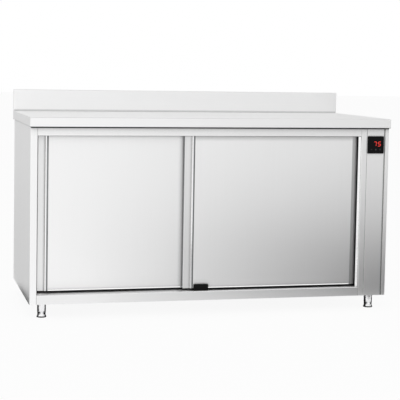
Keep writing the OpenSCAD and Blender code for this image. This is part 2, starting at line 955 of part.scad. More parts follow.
// Fixed upper parts of the feet: closed tubes with a stud
module foot_tubes() {
    color(polished)
        at_feet()
            difference() {
                union() {
                    translate([0, 0, adjuster_h + seat])
                        cylinder(h = leg_h - adjuster_h - seat, r = foot_r);
                    translate([0, 0, leg_h - tube_cap])
                        cylinder(h = tube_cap + stud_l, r = stud_r);
                }
                translate([0, 0, adjuster_h - eps])
                    cylinder(h = stem_l + 1.5 + eps, r = stem_r + stem_play);
            }
}

// Turning lower part of a foot: flared base, waist and threaded stem
module foot_adjuster(x, y) {
    color(polished)
        translate([x, y, 0])
            rotate_extrude()
                polygon([
                    [0, 0],
                    [base_r - 1, 0],
                    [base_r, 1],
                    [base_r, 3],
                    [waist_r, adjuster_h * 0.45],
                    [waist_r, adjuster_h * 0.7],
                    [foot_r, adjuster_h],
                    [stem_r, adjuster_h],
                    [stem_r, adjuster_h + stem_l],
                    [0, adjuster_h + stem_l]
                ]);
}

// Places its children in a door's own frame: X from its left end, Y inwards, Z from its foot
module at_door(door) {
    translate([door_x[door], door_y[door], door_bottom])
        children();
}

// Outer pan of a door: face, folds at head and foot, sloping fold at the right end
module door_skin(door) {
    color(steel)
        at_door(door)
            union() {
                block([face_u, fold_u], [0, sheet], [0, door_h]);
                block([face_u, face_u + sheet], [0, groove_d], [0, door_h]);
                for (z = [0, door_h - sheet])
                    block([face_u + sheet, fold_u], [0, skin_d], [z, z + sheet]);
                linear_extrude(door_h)
                    polygon([[fold_u, 0], [door_w, fold_d], [door_w, fold_d + sheet],
                             [fold_u, sheet]]);
                block([door_w - sheet, door_w], [fold_d, skin_d], [0, door_h]);
            }
}

module door_liner(door) {
    color(inner_steel)
        at_door(door)
            block([0, door_w], [skin_d, door_t], [0, door_h]);
}

module door_core(door) {
    color(wool)
        at_door(door)
            block([face_u + 2 * sheet, fold_u], [sheet, skin_d], [sheet, door_h - sheet]);
}

// Folded grip profile at a door's left end: finger step, lip and pull groove
module door_grip(door) {
    lip_u = grip_w + lip_w;
    color(polished)
        at_door(door)
            union() {
                block([0, sheet], [grip_d, skin_d], [0, door_h]);
                block([0, grip_w + sheet], [grip_d, grip_d + sheet], [0, door_h]);
                block([grip_w, grip_w + sheet], [0, grip_d + sheet], [0, door_h]);
                block([grip_w, lip_u], [0, sheet], [0, door_h]);
                block([lip_u - sheet, lip_u], [0, groove_d + sheet], [0, door_h]);
                block([lip_u - sheet, face_u + sheet], [groove_d, groove_d + sheet],
                      [0, door_h]);
            }
}

// Two hangers on a door's head: foot, upright plate, axle and its head
module door_hangers(door) {
    head_y = -roller_gap - roller_w - roller_gap - axle_head_t;
    foot_w = door_t - 4;
    color(zinc)
        for (u = hanger_u)
            translate([door_x[door] + u, lane_y[door], 0])
                union() {
                    block([0, hanger_l], [-foot_w / 2, foot_w / 2],
                          [door_top, door_top + hanger_foot]);
                    block([0, hanger_l], [0, hanger_t], [door_top, axle_z + axle_r + 3]);
                    translate([hanger_l / 2, hanger_t, axle_z])
                        rotate([90, 0, 0])
                            cylinder(h = hanger_t - head_y, r = axle_r, $fn = 48);
                    translate([hanger_l / 2, head_y + axle_head_t, axle_z])
                        rotate([90, 0, 0])
                            cylinder(h = axle_head_t, r = axle_head_r, $fn = 48);
                }
}

// Roller on a hanger's axle, with a shallow tread edge
module roller(door, end) {
    tread = 1;
    color(nylon)
        translate([door_x[door] + hanger_u[end] + hanger_l / 2, lane_y[door] - roller_gap, axle_z])
            rotate([90, 0, 0])
                rotate_extrude()
                    polygon([
                        [axle_r + axle_play, 0],
                        [roller_r - tread, 0],
                        [roller_r, tread],
                        [roller_r, roller_w - tread],
                        [roller_r - tread, roller_w],
                        [axle_r + axle_play, roller_w]
                    ]);
}

worktop();
worktop_board();
worktop_channels();
left_side_panel();
left_insulation();
inner_left_wall();
left_post();
right_side_panel();
right_insulation();
right_post();
control_fascia();
duct_partition();
top_rail();
bottom_rail();
door_track();
track_stops();
centre_guide();
base_panel();
base_insulation();
inner_floor();
inner_ceiling();
top_insulation();
back_panel();
back_insulation();
inner_back_wall();
back_screws();
shelf_uprights();
shelf_clips();
shelf();
air_duct();
heating_element();
fan_motor();
fan_impeller();
temperature_probe();
controller_body();
display_glass();
terminal_block();
power_relay();
cable_gland();
foot_plates();
foot_tubes();
foot_adjuster(-foot_x, foot_y[0]);  // foot_adjuster_fl
foot_adjuster(foot_x, foot_y[0]);  // foot_adjuster_fr
foot_adjuster(-foot_x, foot_y[1]);  // foot_adjuster_rl
foot_adjuster(foot_x, foot_y[1]);  // foot_adjuster_rr
door_skin(REAR);  // left_door_skin
door_liner(REAR);  // left_door_liner
door_core(REAR);  // left_door_core
door_grip(REAR);  // left_door_grip
door_hangers(REAR);  // left_door_hangers
door_skin(FRONT);  // right_door_skin
door_liner(FRONT);  // right_door_liner
door_core(FRONT);  // right_door_core
door_grip(FRONT);  // right_door_grip
door_hangers(FRONT);  // right_door_hangers
roller(REAR, 0);  // left_roller_a
roller(REAR, 1);  // left_roller_b
roller(FRONT, 0);  // right_roller_a
roller(FRONT, 1);  // right_roller_b
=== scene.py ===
"""Heated plate cupboard in stainless steel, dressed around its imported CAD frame.

The cupboard is a body of folded sheet with two sliding doors, a worktop with a rear upstand, a
control column at its right end and four levelling feet. Each sub-assembly is a class that holds
its sizes and builds and dresses its own pieces; each finish is a small class named for the real
material and the way its surface was made. Shapes are worked out in millimetres as whole numpy
arrays and become metres when they are written into a mesh.
"""

from __future__ import annotations

import logging
import math
from abc import ABC, abstractmethod
from collections.abc import Callable, Iterable, Sequence
from dataclasses import dataclass
from enum import Enum
from typing import Any, ClassVar

import bmesh
import bpy
import numpy as np
from mathutils import Matrix, Vector

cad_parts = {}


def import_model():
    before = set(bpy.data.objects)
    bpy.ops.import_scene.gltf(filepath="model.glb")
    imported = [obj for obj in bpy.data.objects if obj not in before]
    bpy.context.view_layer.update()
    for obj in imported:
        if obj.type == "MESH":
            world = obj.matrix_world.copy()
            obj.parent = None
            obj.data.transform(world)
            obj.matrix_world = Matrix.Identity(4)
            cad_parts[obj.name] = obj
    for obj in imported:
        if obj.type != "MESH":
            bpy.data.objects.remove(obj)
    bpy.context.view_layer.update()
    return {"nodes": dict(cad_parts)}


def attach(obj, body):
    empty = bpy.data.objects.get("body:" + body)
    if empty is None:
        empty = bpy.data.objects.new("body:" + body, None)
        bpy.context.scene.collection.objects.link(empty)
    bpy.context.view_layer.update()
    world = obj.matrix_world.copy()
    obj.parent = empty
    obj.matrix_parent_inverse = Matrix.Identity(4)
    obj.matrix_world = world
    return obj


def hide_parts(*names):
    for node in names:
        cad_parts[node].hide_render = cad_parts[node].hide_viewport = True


Array = np.ndarray
Pair = tuple[float, float]
Triple = tuple[float, float, float]
Chain = Sequence[Pair]
Node = bpy.types.Node
Socket = bpy.types.NodeSocket
Tree = bpy.types.NodeTree
Mask = Callable[[Array], Array]

MM = 0.001
TINY_MM = 1e-6
QUARTER = math.pi / 2
FRAME_PX = 400.0
SENSOR_MM = 36.0
WHITE = "#ffffff"
COLOURS = {"data_type": "RGBA"}

log = logging.getLogger("plate_cupboard")


class Axis(Enum):
    """A direction of the cupboard: X to the right, Y to the rear, Z up."""

    X = 0
    Y = 1
    Z = 2

    @property
    def across(self) -> list[int]:
        """Numbers of the other two axes, in rising order."""
        return [number for number in range(3) if number != self.value]

    def place(self, plane: Array, along: Array) -> Array:
        """Puts points of the plane across this axis into space.

        Args:
            plane: points (..., 2) in the plane of the other two axes.
            along: their position on this axis, of a shape that broadcasts to theirs.

        Returns:
            The points as (..., 3).
        """
        point = np.empty(plane.shape[:-1] + (3,))
        point[..., self.across] = plane
        point[..., self.value] = along
        return point


# ---------------------------------------------------------------- shapes


@dataclass(frozen=True)
class Outline:
    """Rounded chain of straight runs in a plane; the material lies on its left-hand side."""

    points: Array
    left: Array
    closed: bool


@dataclass(frozen=True)
class Shell:
    """Points (N, 3) in millimetres and blocks of faces, each block (F, corners)."""

    points: Array
    faces: tuple[Array, ...]


def rounded(
    corners: Chain, radii: Sequence[float] | float, closed: bool = False, steps: int = 6
) -> Outline:
    """Rounds the corners of a chain of straight runs.

    A corner c, where the unit direction a turns by the angle w, gets the arc
    c - a r tan(w/2) + a r sin(s) + n r (1 - cos(s)) for s from 0 to w, with n the unit normal of
    a on the side to which the chain turns.

    Args:
        corners: the chain's corners.
        radii: radius at each corner, or one for all; the ends of an open chain ignore theirs.
        closed: whether the last corner joins the first.
        steps: number of straight pieces in each arc.

    Returns:
        The rounded chain with its left-hand normals.
    """
    corner = np.asarray(corners, float)
    radius = np.broadcast_to(np.asarray(radii, float), len(corner))
    run_in = corner - np.roll(corner, 1, 0)
    run_out = np.roll(corner, -1, 0) - corner
    if not closed:
        run_in[0], run_out[-1] = run_out[0], run_in[-1]
    a = run_in / np.linalg.norm(run_in, axis=1, keepdims=True)
    b = run_out / np.linalg.norm(run_out, axis=1, keepdims=True)
    turn = np.arctan2(a[:, 0] * b[:, 1] - a[:, 1] * b[:, 0], (a * b).sum(1))
    left = np.stack([-a[:, 1], a[:, 0]], 1)
    bend = left * np.sign(turn)[:, None]
    s = np.abs(turn)[:, None] * np.linspace(0.0, 1.0, steps + 1)
    reach = radius * np.tan(np.abs(turn) / 2)
    arc = (
        (corner - a * reach[:, None])[:, None]
        + a[:, None] * (radius[:, None] * np.sin(s))[..., None]
        + bend[:, None] * (radius[:, None] * (1 - np.cos(s)))[..., None]
    )
    way = a[:, None] * np.cos(s)[..., None] + bend[:, None] * np.sin(s)[..., None]
    normal = np.stack([-way[..., 1], way[..., 0]], -1)
    points, normals = arc.reshape(-1, 2), normal.reshape(-1, 2)
    keep = np.linalg.norm(points - np.roll(points, 1, 0), axis=1) > TINY_MM
    keep[0] = True
    return Outline(points[keep], normals[keep], closed)


def grid_quads(rows: int, columns: int, wrap_rows: bool = False, wrap: bool = True) -> Array:
    """Quads of a grid of points numbered row by row.

    Args:
        rows: number of rows.
        columns: number of points in a row.
        wrap_rows: whether the last row joins the first.
        wrap: whether the last column joins the first.

    Returns:
        Corner numbers (F, 4), each quad running along its row first.
    """
    r = np.arange(rows if wrap_rows else rows - 1)[:, None]
    c = np.arange(columns if wrap else columns - 1)[None, :]
    row, next_row = r * columns, (r + 1) % rows * columns
    next_c = (c + 1) % columns
    return np.stack([row + c, row + next_c, next_row + next_c, next_row + c], -1).reshape(-1, 4)


def prism(
    outline: Outline,
    axis: Axis,
    span: tuple[Any, Any],
    edge: float = 0.0,
    capped: bool = True,
    steps: int = 3,
) -> Shell:
    """Carries an outline along an axis and rounds over its two ends.

    The row at angle t of an end, from 0 to a quarter turn, lies edge (1 - cos t) from the end's
    plane, with the outline moved to its left by edge (1 - sin t).

    Args:
        outline: the outline, in the plane across the axis.
        axis: the axis it is carried along.
        span: lowest and highest place on the axis, each one value or one for each point.
        edge: radius of the rounding at both ends.
        capped: whether both ends get a flat face.
        steps: number of straight pieces in the rounding.

    Returns:
        The surface, facing away from the outline's left-hand side.
    """
    t = np.linspace(0.0, QUARTER, steps + 1 if edge else 1)[:, None]
    rise, inset = edge * (1 - np.cos(t)), edge * (1 - np.sin(t))
    columns = len(outline.points)
    low = np.broadcast_to(span[0] + rise, (len(t), columns))
    high = np.broadcast_to(span[1] - rise[::-1], (len(t), columns))
    shift = np.concatenate([inset, inset[::-1]])[..., None] if edge else np.zeros((2, 1, 1))
    points = axis.place(outline.points + outline.left * shift, np.concatenate([low, high]))
    ring, last = np.arange(columns)[None], (len(points) - 1) * columns
    sides = grid_quads(len(points), columns, wrap=outline.closed)
    faces = (sides, ring[:, ::-1], ring + last) if capped else (sides,)
    if axis is Axis.Y:
        faces = tuple(block[:, ::-1] for block in faces)
    return Shell(points.reshape(-1, 3), faces)


def revolve(
    radius: Array,
    height: Array,
    centre: Triple,
    axis: Axis = Axis.Z,
    steps: int = 48,
    tips: tuple[float | None, float | None] = (None, None),
    ring: bool = False,
) -> Shell:
    """Turns a profile round an axis.

    Point (k, j) lies radius[k, j] from the axis, at the turn 2 pi j / steps, height[k] along it.
    The profile is walked with the material on its left.

    Args:
        radius: radii (K,), or (K, steps) where they change round the axis.
        height: heights (K,) along the axis.
        centre: the point that heights and radii start from.
        axis: the axis.
        steps: number of points round the axis.
        tips: heights of the points on the axis that close the first and the last row.
        ring: whether the last row joins the first, for a bored piece.

    Returns:
        The surface, facing away from the material.
    """
    rows = len(height)
    spread = np.asarray(radius, float)
    spread = np.broadcast_to(spread if spread.ndim == 2 else spread[:, None], (rows, steps))
    column = np.arange(steps)
    turn = column * (2 * math.pi / steps)
    grid = np.empty((rows, steps, 3))
    first, second = (axis.value + 1) % 3, (axis.value + 2) % 3
    grid[..., first] = spread * np.cos(turn)
    grid[..., second] = spread * np.sin(turn)
    grid[..., axis.value] = np.asarray(height, float)[:, None]
    points = [grid.reshape(-1, 3)]
    faces = [grid_quads(rows, steps, wrap_rows=ring)]
    for end, tip in enumerate(tips):
        if tip is None:
            continue
        pole = np.zeros((1, 3))
        pole[0, axis.value] = tip
        number = np.full(steps, sum(len(block) for block in points))
        start = end * (rows - 1) * steps
        row, after = column + start, (column + 1) % steps + start
        points.append(pole)
        faces.append(np.stack([number, row, after] if end else [number, after, row], -1))
    return Shell(np.concatenate(points) + np.asarray(centre, float), tuple(faces))


def join(shells: Iterable[Shell]) -> Shell:
    """Puts several surfaces into one, without welding them.

    Args:
        shells: the surfaces.

    Returns:
        One surface, its faces numbered on from part to part.
    """
    parts = list(shells)
    starts = np.cumsum([0] + [len(part.points) for part in parts[:-1]])
    faces = [block + start for part, start in zip(parts, starts) for block in part.faces]
    return Shell(np.concatenate([part.points for part in parts]), tuple(faces))


def rectangle(x: Pair, y: Pair, radius: float, steps: int = 5) -> Outline:
    """Closed outline of a rectangle with rounded corners, its inside on the left."""
    corners = [(x[0], y[0]), (x[1], y[0]), (x[1], y[1]), (x[0], y[1])]
    return rounded(corners, radius, closed=True, steps=steps)


# ---------------------------------------------------------------- finishes


def linear(colour: str) -> tuple[float, float, float, float]:
    """Turns an sRGB hex colour into the linear values that a shader takes.

    Args:
        colour: the colour as #rrggbb.

    Returns:
        Red, green, blue and an alpha of 1.
    """
    value = np.array([int(colour[i : i + 2], 16) for i in (1, 3, 5)]) / 255.0
    low, high = value / 12.92, ((value + 0.055) / 1.055) ** 2.4
    return (*np.where(value <= 0.04045, low, high).tolist(), 1.0)


def per_mm(size: float) -> float:
    """Scale of a pattern whose parts measure a size in millimetres."""
    return 1 / (size * MM)


def add_node(
    tree: Tree,
    kind: str,
    inputs: dict[str | int, Any] | None = None,
    settings: dict[str, Any] | None = None,
) -> Node:
    """Adds a shader node, sets its properties and fills or links its inputs.

    Args:
        tree: the node tree.
        kind: the node's type name after ShaderNode.
        inputs: values for its sockets by name or number; a socket as a value is linked.
        settings: properties of the node itself.

    Returns:
        The new node.
    """
    node = tree.nodes.new(f"ShaderNode{kind}")
    for name, value in (settings or {}).items():
        setattr(node, name, value)
    fill(tree, node, inputs or {})
    return node


def fill(tree: Tree, node: Node, inputs: dict[str | int, Any]) -> None:
    """Fills or links a node's inputs.

    Args:
        tree: the node tree.
        node: the node.
        inputs: values for its sockets by name or number; a socket as a value is linked.
    """
    for key, value in inputs.items():
        if isinstance(value, Socket):
            tree.links.new(value, node.inputs[key])
        else:
            node.inputs[key].default_value = value


@dataclass(frozen=True)
class Canvas:
    """A material that is being filled: its nodes, its Principled shader, Object coordinates."""

    tree: Tree
    shader: Node
    place: Socket

    def lay(
        self,
        plain: dict[str, Any],
        colour: tuple[Socket, str, str] | None = None,
        dull: Socket | None = None,
        rough: tuple[Socket, Pair, Pair] | None = None,
        relief: tuple[Socket, float, float] | None = None,
    ) -> None:
        """Lays patterns over the shader, in colour, roughness and height.

        Args:
            plain: values that are the same all over the surface, by socket.
            colour: a pattern, and the hex colours where it is 0 and where it is 1.
            dull: a pattern that the colour is multiplied by, such as painted shade.
            rough: a pattern, the span of it that is used, and the roughness at that span's ends.
            relief: a pattern, its strength, and its height in millimetres.
        """
        ways = dict(plain)
        if colour:
            ends = {0: colour[0], 6: linear(colour[1]), 7: linear(colour[2])}
            ways["Base Color"] = add_node(self.tree, "Mix", ends, COLOURS).outputs[2]
        if dull:
            both = {0: 1.0, 6: ways["Base Color"], 7: dull}
            multiply = COLOURS | {"blend_type": "MULTIPLY"}
            ways["Base Color"] = add_node(self.tree, "Mix", both, multiply).outputs[2]
        if rough:
            names = ("Value", "From Min", "From Max", "To Min", "To Max")
            values = (rough[0], *rough[1], *rough[2])
            ways["Roughness"] = add_node(self.tree, "MapRange", dict(zip(names, values))).outputs[0]
        if relief:
            height, strength, rise = relief
            bump = {"Height": height, "Strength": strength, "Distance": rise * MM}
            ways["Normal"] = add_node(self.tree, "Bump", bump).outputs[0]
        fill(self.tree, self.shader, ways)


@dataclass(frozen=True)
class Finish(ABC):
    """A surface: what it is made of, how it was made, and the record's slot it belongs to."""

    slot: ClassVar[str]

    @property
    def title(self) -> str:
        """The material's name: the class's own, with its options.

        Returns:
            The name.
        """
        values = vars(self).values()
        options = [item.name if isinstance(item, Enum) else str(item) for item in values]
        return "_".join([type(self).__name__, *options]).replace("#", "")

    @abstractmethod
    def dress(self, on: Canvas) -> None:
        """Lays the finish over a material.

        Args:
            on: the material to fill.
        """

    def material(self) -> bpy.types.Material:
        """The finish as a material, made once and then used again.

        Returns:
            The material.
        """
        made = bpy.data.materials.get(self.title)
        if made:
            return made
        material = bpy.data.materials.new(self.title)
        material.use_nodes = True
        tree = material.node_tree
        shader = next(node for node in tree.nodes if node.type == "BSDF_PRINCIPLED")
        self.dress(Canvas(tree, shader, add_node(tree, "TexCoord").outputs["Object"]))
        return material


@dataclass(frozen=True)
class GroundSteel(Finish):
    """Stainless sheet ground with a belt: fine straight scratches blur it along the grain.

    The real scratches are about 0.1 mm apart. They are drawn as bundles a few millimetres wide,
    the finest that the render can show. Ambient occlusion darkens the colour in creases and
    corners: painted shade.
    """

    grain: Axis = Axis.X
    tint: str = "#fcfcfc"
    streak: str = "#f8f8f8"
    gloss: float = 0.4
    crease_mm: float = 25.0
    crease_depth: float = 1.0

    slot = "steel"
    scratch_mm = 3.0
    run_mm = 600.0
    wander_mm = 350.0
    wander_share = 0.4
    spread = (-0.03, 0.04)

    def dress(self, on: Canvas) -> None:
        """Bundled scratches along the grain, the wander of the belt, and painted shade in creases.

        Args:
            on: the material to fill.
        """
        pitch = [per_mm(self.scratch_mm)] * 3
        pitch[self.grain.value] = per_mm(self.run_mm)
        along = add_node(on.tree, "Mapping", {"Vector": on.place, "Scale": pitch}).outputs[0]
        bundles = {"Vector": along, "Scale": 1.0, "Detail": 4.0, "Roughness": 0.6}
        scratch = add_node(on.tree, "TexNoise", bundles).outputs["Fac"]
        belt = {"Vector": on.place, "Scale": per_mm(self.wander_mm), "Detail": 1.0}
        wander = add_node(on.tree, "TexNoise", belt).outputs["Fac"]
        share = {0: wander, 1: self.wander_share, 2: scratch}
        mixed = add_node(on.tree, "Math", share, {"operation": "MULTIPLY_ADD"}).outputs[0]
        # Painted shade: ambient occlusion darkens the colour near creases and corners.
        reach = {"Distance": self.crease_mm * MM}
        near = add_node(on.tree, "AmbientOcclusion", reach, {"samples": 8}).outputs["AO"]
        depth = {0: near, 1: self.crease_depth}
        on.lay(
            {"Metallic": 1.0},
            (scratch, self.tint, self.streak),
            add_node(on.tree, "Math", depth, {"operation": "POWER"}).outputs[0],
            (mixed, (0.4, 1.0), (self.gloss + self.spread[0], self.gloss + self.spread[1])),
            (scratch, 0.05, 0.01),
        )


@dataclass(frozen=True)
class RolledSteel(Finish):
    """Stainless sheet as it leaves the rolls: satin, with faint clouds and no grain. Darker tints
    paint shade.
    """

    tint: str = "#dedede"
    cloud: str = "#d9d9da"
    gloss: float = 0.42

    slot = "inner_steel"
    cloud_mm = 60.0
    spread = 0.015

    def dress(self, on: Canvas) -> None:
        """Clouds of a hand's width in colour and gloss.

        Args:
            on: the material to fill.
        """
        size = {"Vector": on.place, "Scale": per_mm(self.cloud_mm), "Detail": 5.0}
        cloud = add_node(on.tree, "TexNoise", size).outputs["Fac"]
        gloss = (self.gloss - self.spread, self.gloss + self.spread)
        tones = (cloud, self.tint, self.cloud)
        on.lay({"Metallic": 1.0}, tones, rough=(cloud, (0.3, 0.7), gloss))


@dataclass(frozen=True)
class TurnedSteel(Finish):
    """Stainless tube polished on the lathe: near a mirror, with fine rings round its axis."""

    tint: str = "#d9dadb"
    gloss: float = 0.15

    slot = "polished_steel"
    ring_mm = 0.8
    drift_mm = 50.0
    spread = 0.05

    def dress(self, on: Canvas) -> None:
        """Rings as a noise that changes with height alone.

        Args:
            on: the material to fill.
        """
        pitch = [per_mm(self.drift_mm)] * 2 + [per_mm(self.ring_mm)]
        along = add_node(on.tree, "Mapping", {"Vector": on.place, "Scale": pitch}).outputs[0]
        rings = {"Vector": along, "Scale": 1.0, "Detail": 3.0}
        ring = add_node(on.tree, "TexNoise", rings).outputs["Fac"]
        gloss = (self.gloss - self.spread, self.gloss + self.spread)
        plain = {"Metallic": 1.0, "Base Color": linear(self.tint)}
        on.lay(plain, rough=(ring, (0.3, 0.7), gloss), relief=(ring, 0.1, 0.004))


@dataclass(frozen=True)
class DippedZinc(Finish):
    """Hot-dip galvanised steel: crystals of zinc, each a little lighter or duller."""

    light: str = "#b9bdc0"
    dark: str = "#9a9fa3"

    slot = "zinc_steel"
    crystal_mm = 9.0
    gloss = (0.32, 0.5)

    def dress(self, on: Canvas) -> None:
        """Crystals as cells, each with one shade and one gloss.

        Args:
            on: the material to fill.
        """
        size = {"Vector": on.place, "Scale": per_mm(self.crystal_mm)}
        cell = add_node(on.tree, "TexVoronoi", size).outputs["Color"]
        shade, polish = add_node(on.tree, "SeparateColor", {0: cell}).outputs[:2]
        tones = (shade, self.light, self.dark)
        rough = (polish, (0.0, 1.0), self.gloss)
        on.lay({"Metallic": 1.0}, tones, rough=rough)


@dataclass(frozen=True)
class MouldedPlastic(Finish):
    """Polyamide from a spark-eroded mould: an even fine grain that keeps it matt."""

    tint: str = "#0a0a0b"
    part: str = "black_plastic"
    gloss: float = 0.55

    grain_mm = 0.6
    spread = 0.1

    @property
    def slot(self) -> str:
        """The record's slot that this plastic stands for."""
        return self.part

    def dress(self, on: Canvas) -> None:
        """Eroded grain in relief and gloss.

        Args:
            on: the material to fill.
        """
        size = {"Vector": on.place, "Scale": per_mm(self.grain_mm), "Detail": 2.0}
        grain = add_node(on.tree, "TexNoise", size).outputs["Fac"]
        gloss = (self.gloss - self.spread, self.gloss + self.spread)
        plain = {"Base Color": linear(self.tint), "Specular IOR Level": 0.15}
        rough = (grain, (0.0, 1.0), gloss)
        on.lay(plain, rough=rough, relief=(grain, 0.3, 0.05))


@dataclass(frozen=True)
class MineralWool(Finish):
    """Slab of bonded mineral fibres: matt, with strands that lie along the slab."""

    light: str = "#cdbb84"
    dark: str = "#a8925a"

    slot = "wool"
    strand_mm = 1.5
    strand_run_mm = 18.0

    def dress(self, on: Canvas) -> None:
        """Strands as a noise drawn out along X.

        Args:
            on: the material to fill.
        """
        pitch = [per_mm(self.strand_run_mm)] + [per_mm(self.strand_mm)] * 2
        lie = add_node(on.tree, "Mapping", {"Vector": on.place, "Scale": pitch}).outputs[0]
        tangle = {"Vector": lie, "Scale": 1.0, "Detail": 6.0, "Distortion": 0.8}
        strand = add_node(on.tree, "TexNoise", tangle).outputs["Fac"]
        tones = (strand, self.light, self.dark)
        on.lay({"Roughness": 0.95}, tones, relief=(strand, 0.8, 0.8))


@dataclass(frozen=True)
class ChipBoard(Finish):
    """Pressed chips of softwood, raw: flat flakes of several browns."""

    light: str = "#cfae7c"
    dark: str = "#9c7747"

    slot = "board"
    chip_mm = 4.0

    def dress(self, on: Canvas) -> None:
        """Flakes as cells with one brown each.

        Args:
            on: the material to fill.
        """
        size = {"Vector": on.place, "Scale": per_mm(self.chip_mm)}
        chip = add_node(on.tree, "TexVoronoi", size).outputs
        shade = add_node(on.tree, "SeparateColor", {0: chip["Color"]}).outputs[0]
        tones = (shade, self.light, self.dark)
        on.lay({"Roughness": 0.85}, tones, relief=(chip["Distance"], 0.4, 0.3))


@dataclass(frozen=True)
class TouchGlass(Finish):
    """Smoked float glass over a black mask: deep black with a clean reflection."""

    tint: str = "#08080a"

    slot = "display"
    smear_mm = 20.0
    gloss = (0.04, 0.12)

    def dress(self, on: Canvas) -> None:
        """A faint film of finger grease dulls the gloss in patches.

        Args:
            on: the material to fill.
        """
        size = {"Vector": on.place, "Scale": per_mm(self.smear_mm), "Detail": 3.0}
        film = add_node(on.tree, "TexNoise", size).outputs["Fac"]
        plain = {"Base Color": linear(self.tint), "IOR": 1.52, "Specular IOR Level": 0.12}
        on.lay(plain, rough=(film, (0.0, 1.0), self.gloss))


@dataclass(frozen=True)
class LitMark(Finish):
    """Segment or symbol behind the glass, lit evenly by a diode."""

    tint: str = "#e8352a"
    glow: float = 1.0

    slot = "display"
    unlit = "#180404"
    mottle_mm = 2.0
    spread = 0.15

    def dress(self, on: Canvas) -> None:
        """Lit through the diode's light guide, with a slight mottle.

        Args:
            on: the material to fill.
        """
        size = {"Vector": on.place, "Scale": per_mm(self.mottle_mm)}
        mottle = add_node(on.tree, "TexNoise", size).outputs["Fac"]
        least, most = self.glow * (1 - self.spread), self.glow * (1 + self.spread)
        level = add_node(on.tree, "MapRange", {"Value": mottle, "To Min": least, "To Max": most})
        plain = {
            "Base Color": linear(self.unlit),
            "Emission Color": linear(self.tint),
            "Emission Strength": level.outputs[0],
        }
        on.lay(plain)


@dataclass(frozen=True)
class ScaledAlloy(Finish):
    """Nickel alloy sheath after firing: a dull brown-grey oxide with warmer bands."""

    cool: str = "#6a6460"
    warm: str = "#7d5f4a"

    slot = "element"
    band_mm = 30.0

    def dress(self, on: Canvas) -> None:
        """Heat tint in bands.

        Args:
            on: the material to fill.
        """
        size = {"Vector": on.place, "Scale": per_mm(self.band_mm), "Detail": 4.0}
        band = add_node(on.tree, "TexNoise", size).outputs["Fac"]
        on.lay({"Metallic": 0.8, "Roughness": 0.55}, (band, self.cool, self.warm))


@dataclass(frozen=True)
class PressedAluminium(Finish):
    """Mill-finish aluminium sheet, pressed and riveted: bright, softly mottled."""

    light: str = "#d2d4d6"
    dark: str = "#bcbfc2"

    slot = "aluminium"
    mark_mm = 5.0

    def dress(self, on: Canvas) -> None:
        """Rolling marks in patches.

        Args:
            on: the material to fill.
        """
        size = {"Vector": on.place, "Scale": per_mm(self.mark_mm), "Detail": 4.0}
        mark = add_node(on.tree, "TexNoise", size).outputs["Fac"]
        on.lay({"Metallic": 1.0, "Roughness": 0.38}, (mark, self.light, self.dark))


# Body and door sheets: a pale satin face whose highlight is drawn out across the grain, with
# painted shade in the creases.
UPRIGHT_STEEL = GroundSteel(Axis.Z)
LEVEL_STEEL = GroundSteel(Axis.X)
TOP_STEEL = GroundSteel(Axis.X, crease_mm=12.0)
# Frame sheets: the same, with painted shade that is darker and reaches further from the corners.
RAIL_STEEL = GroundSteel(Axis.X, crease_mm=40.0, crease_depth=2.0)
POST_STEEL = GroundSteel(Axis.Z, crease_mm=40.0, crease_depth=2.0)
# Sill, sloping fold and grip: a greyer tint than the faces, painted shade, with narrow painted
# shade in the creases.
SILL_SHADE_STEEL = GroundSteel(Axis.X, "#f4f4f4", "#f0f0f0", crease_mm=12.0)
SLOPE_SHADE_STEEL = GroundSteel(Axis.Z, "#cfcfcf", "#cacaca", crease_mm=9.0)
GRIP_SHADE_STEEL = GroundSteel(Axis.Z, "#f4f4f4", "#f0f0f0", crease_mm=10.0)
# Rolled sheet, soft and grey: the inner walls in their own tint, and darker tints that paint shade
# on folds that face down, in the pull groove and at the grip's outer end.
INNER_STEEL = RolledSteel()
FOLD_SHADE_STEEL = RolledSteel("#8a8c8e", "#7c7e80", 0.5)
GROOVE_SHADE_STEEL = RolledSteel("#b4b6b8", "#a8aaac", 0.5)
# Polished steel: bright tubes with sharp bands of light, and lines of light along edges.
FOOT_STEEL = TurnedSteel("#f4f4f5", 0.25)
EDGE_STEEL = TurnedSteel("#fcfcfc")
# Mouldings: matt black rubber, ivory nylon and black nylon.
RUBBER = MouldedPlastic("#1c1b1a", "rubber", 0.75)
NYLON = MouldedPlastic("#dfddd4", "nylon", 0.4)
BLACK_NYLON = MouldedPlastic()

# Says which face centres have another finish, and which finish that is.
Second = tuple[Mask, Finish]


# ---------------------------------------------------------------- workshop


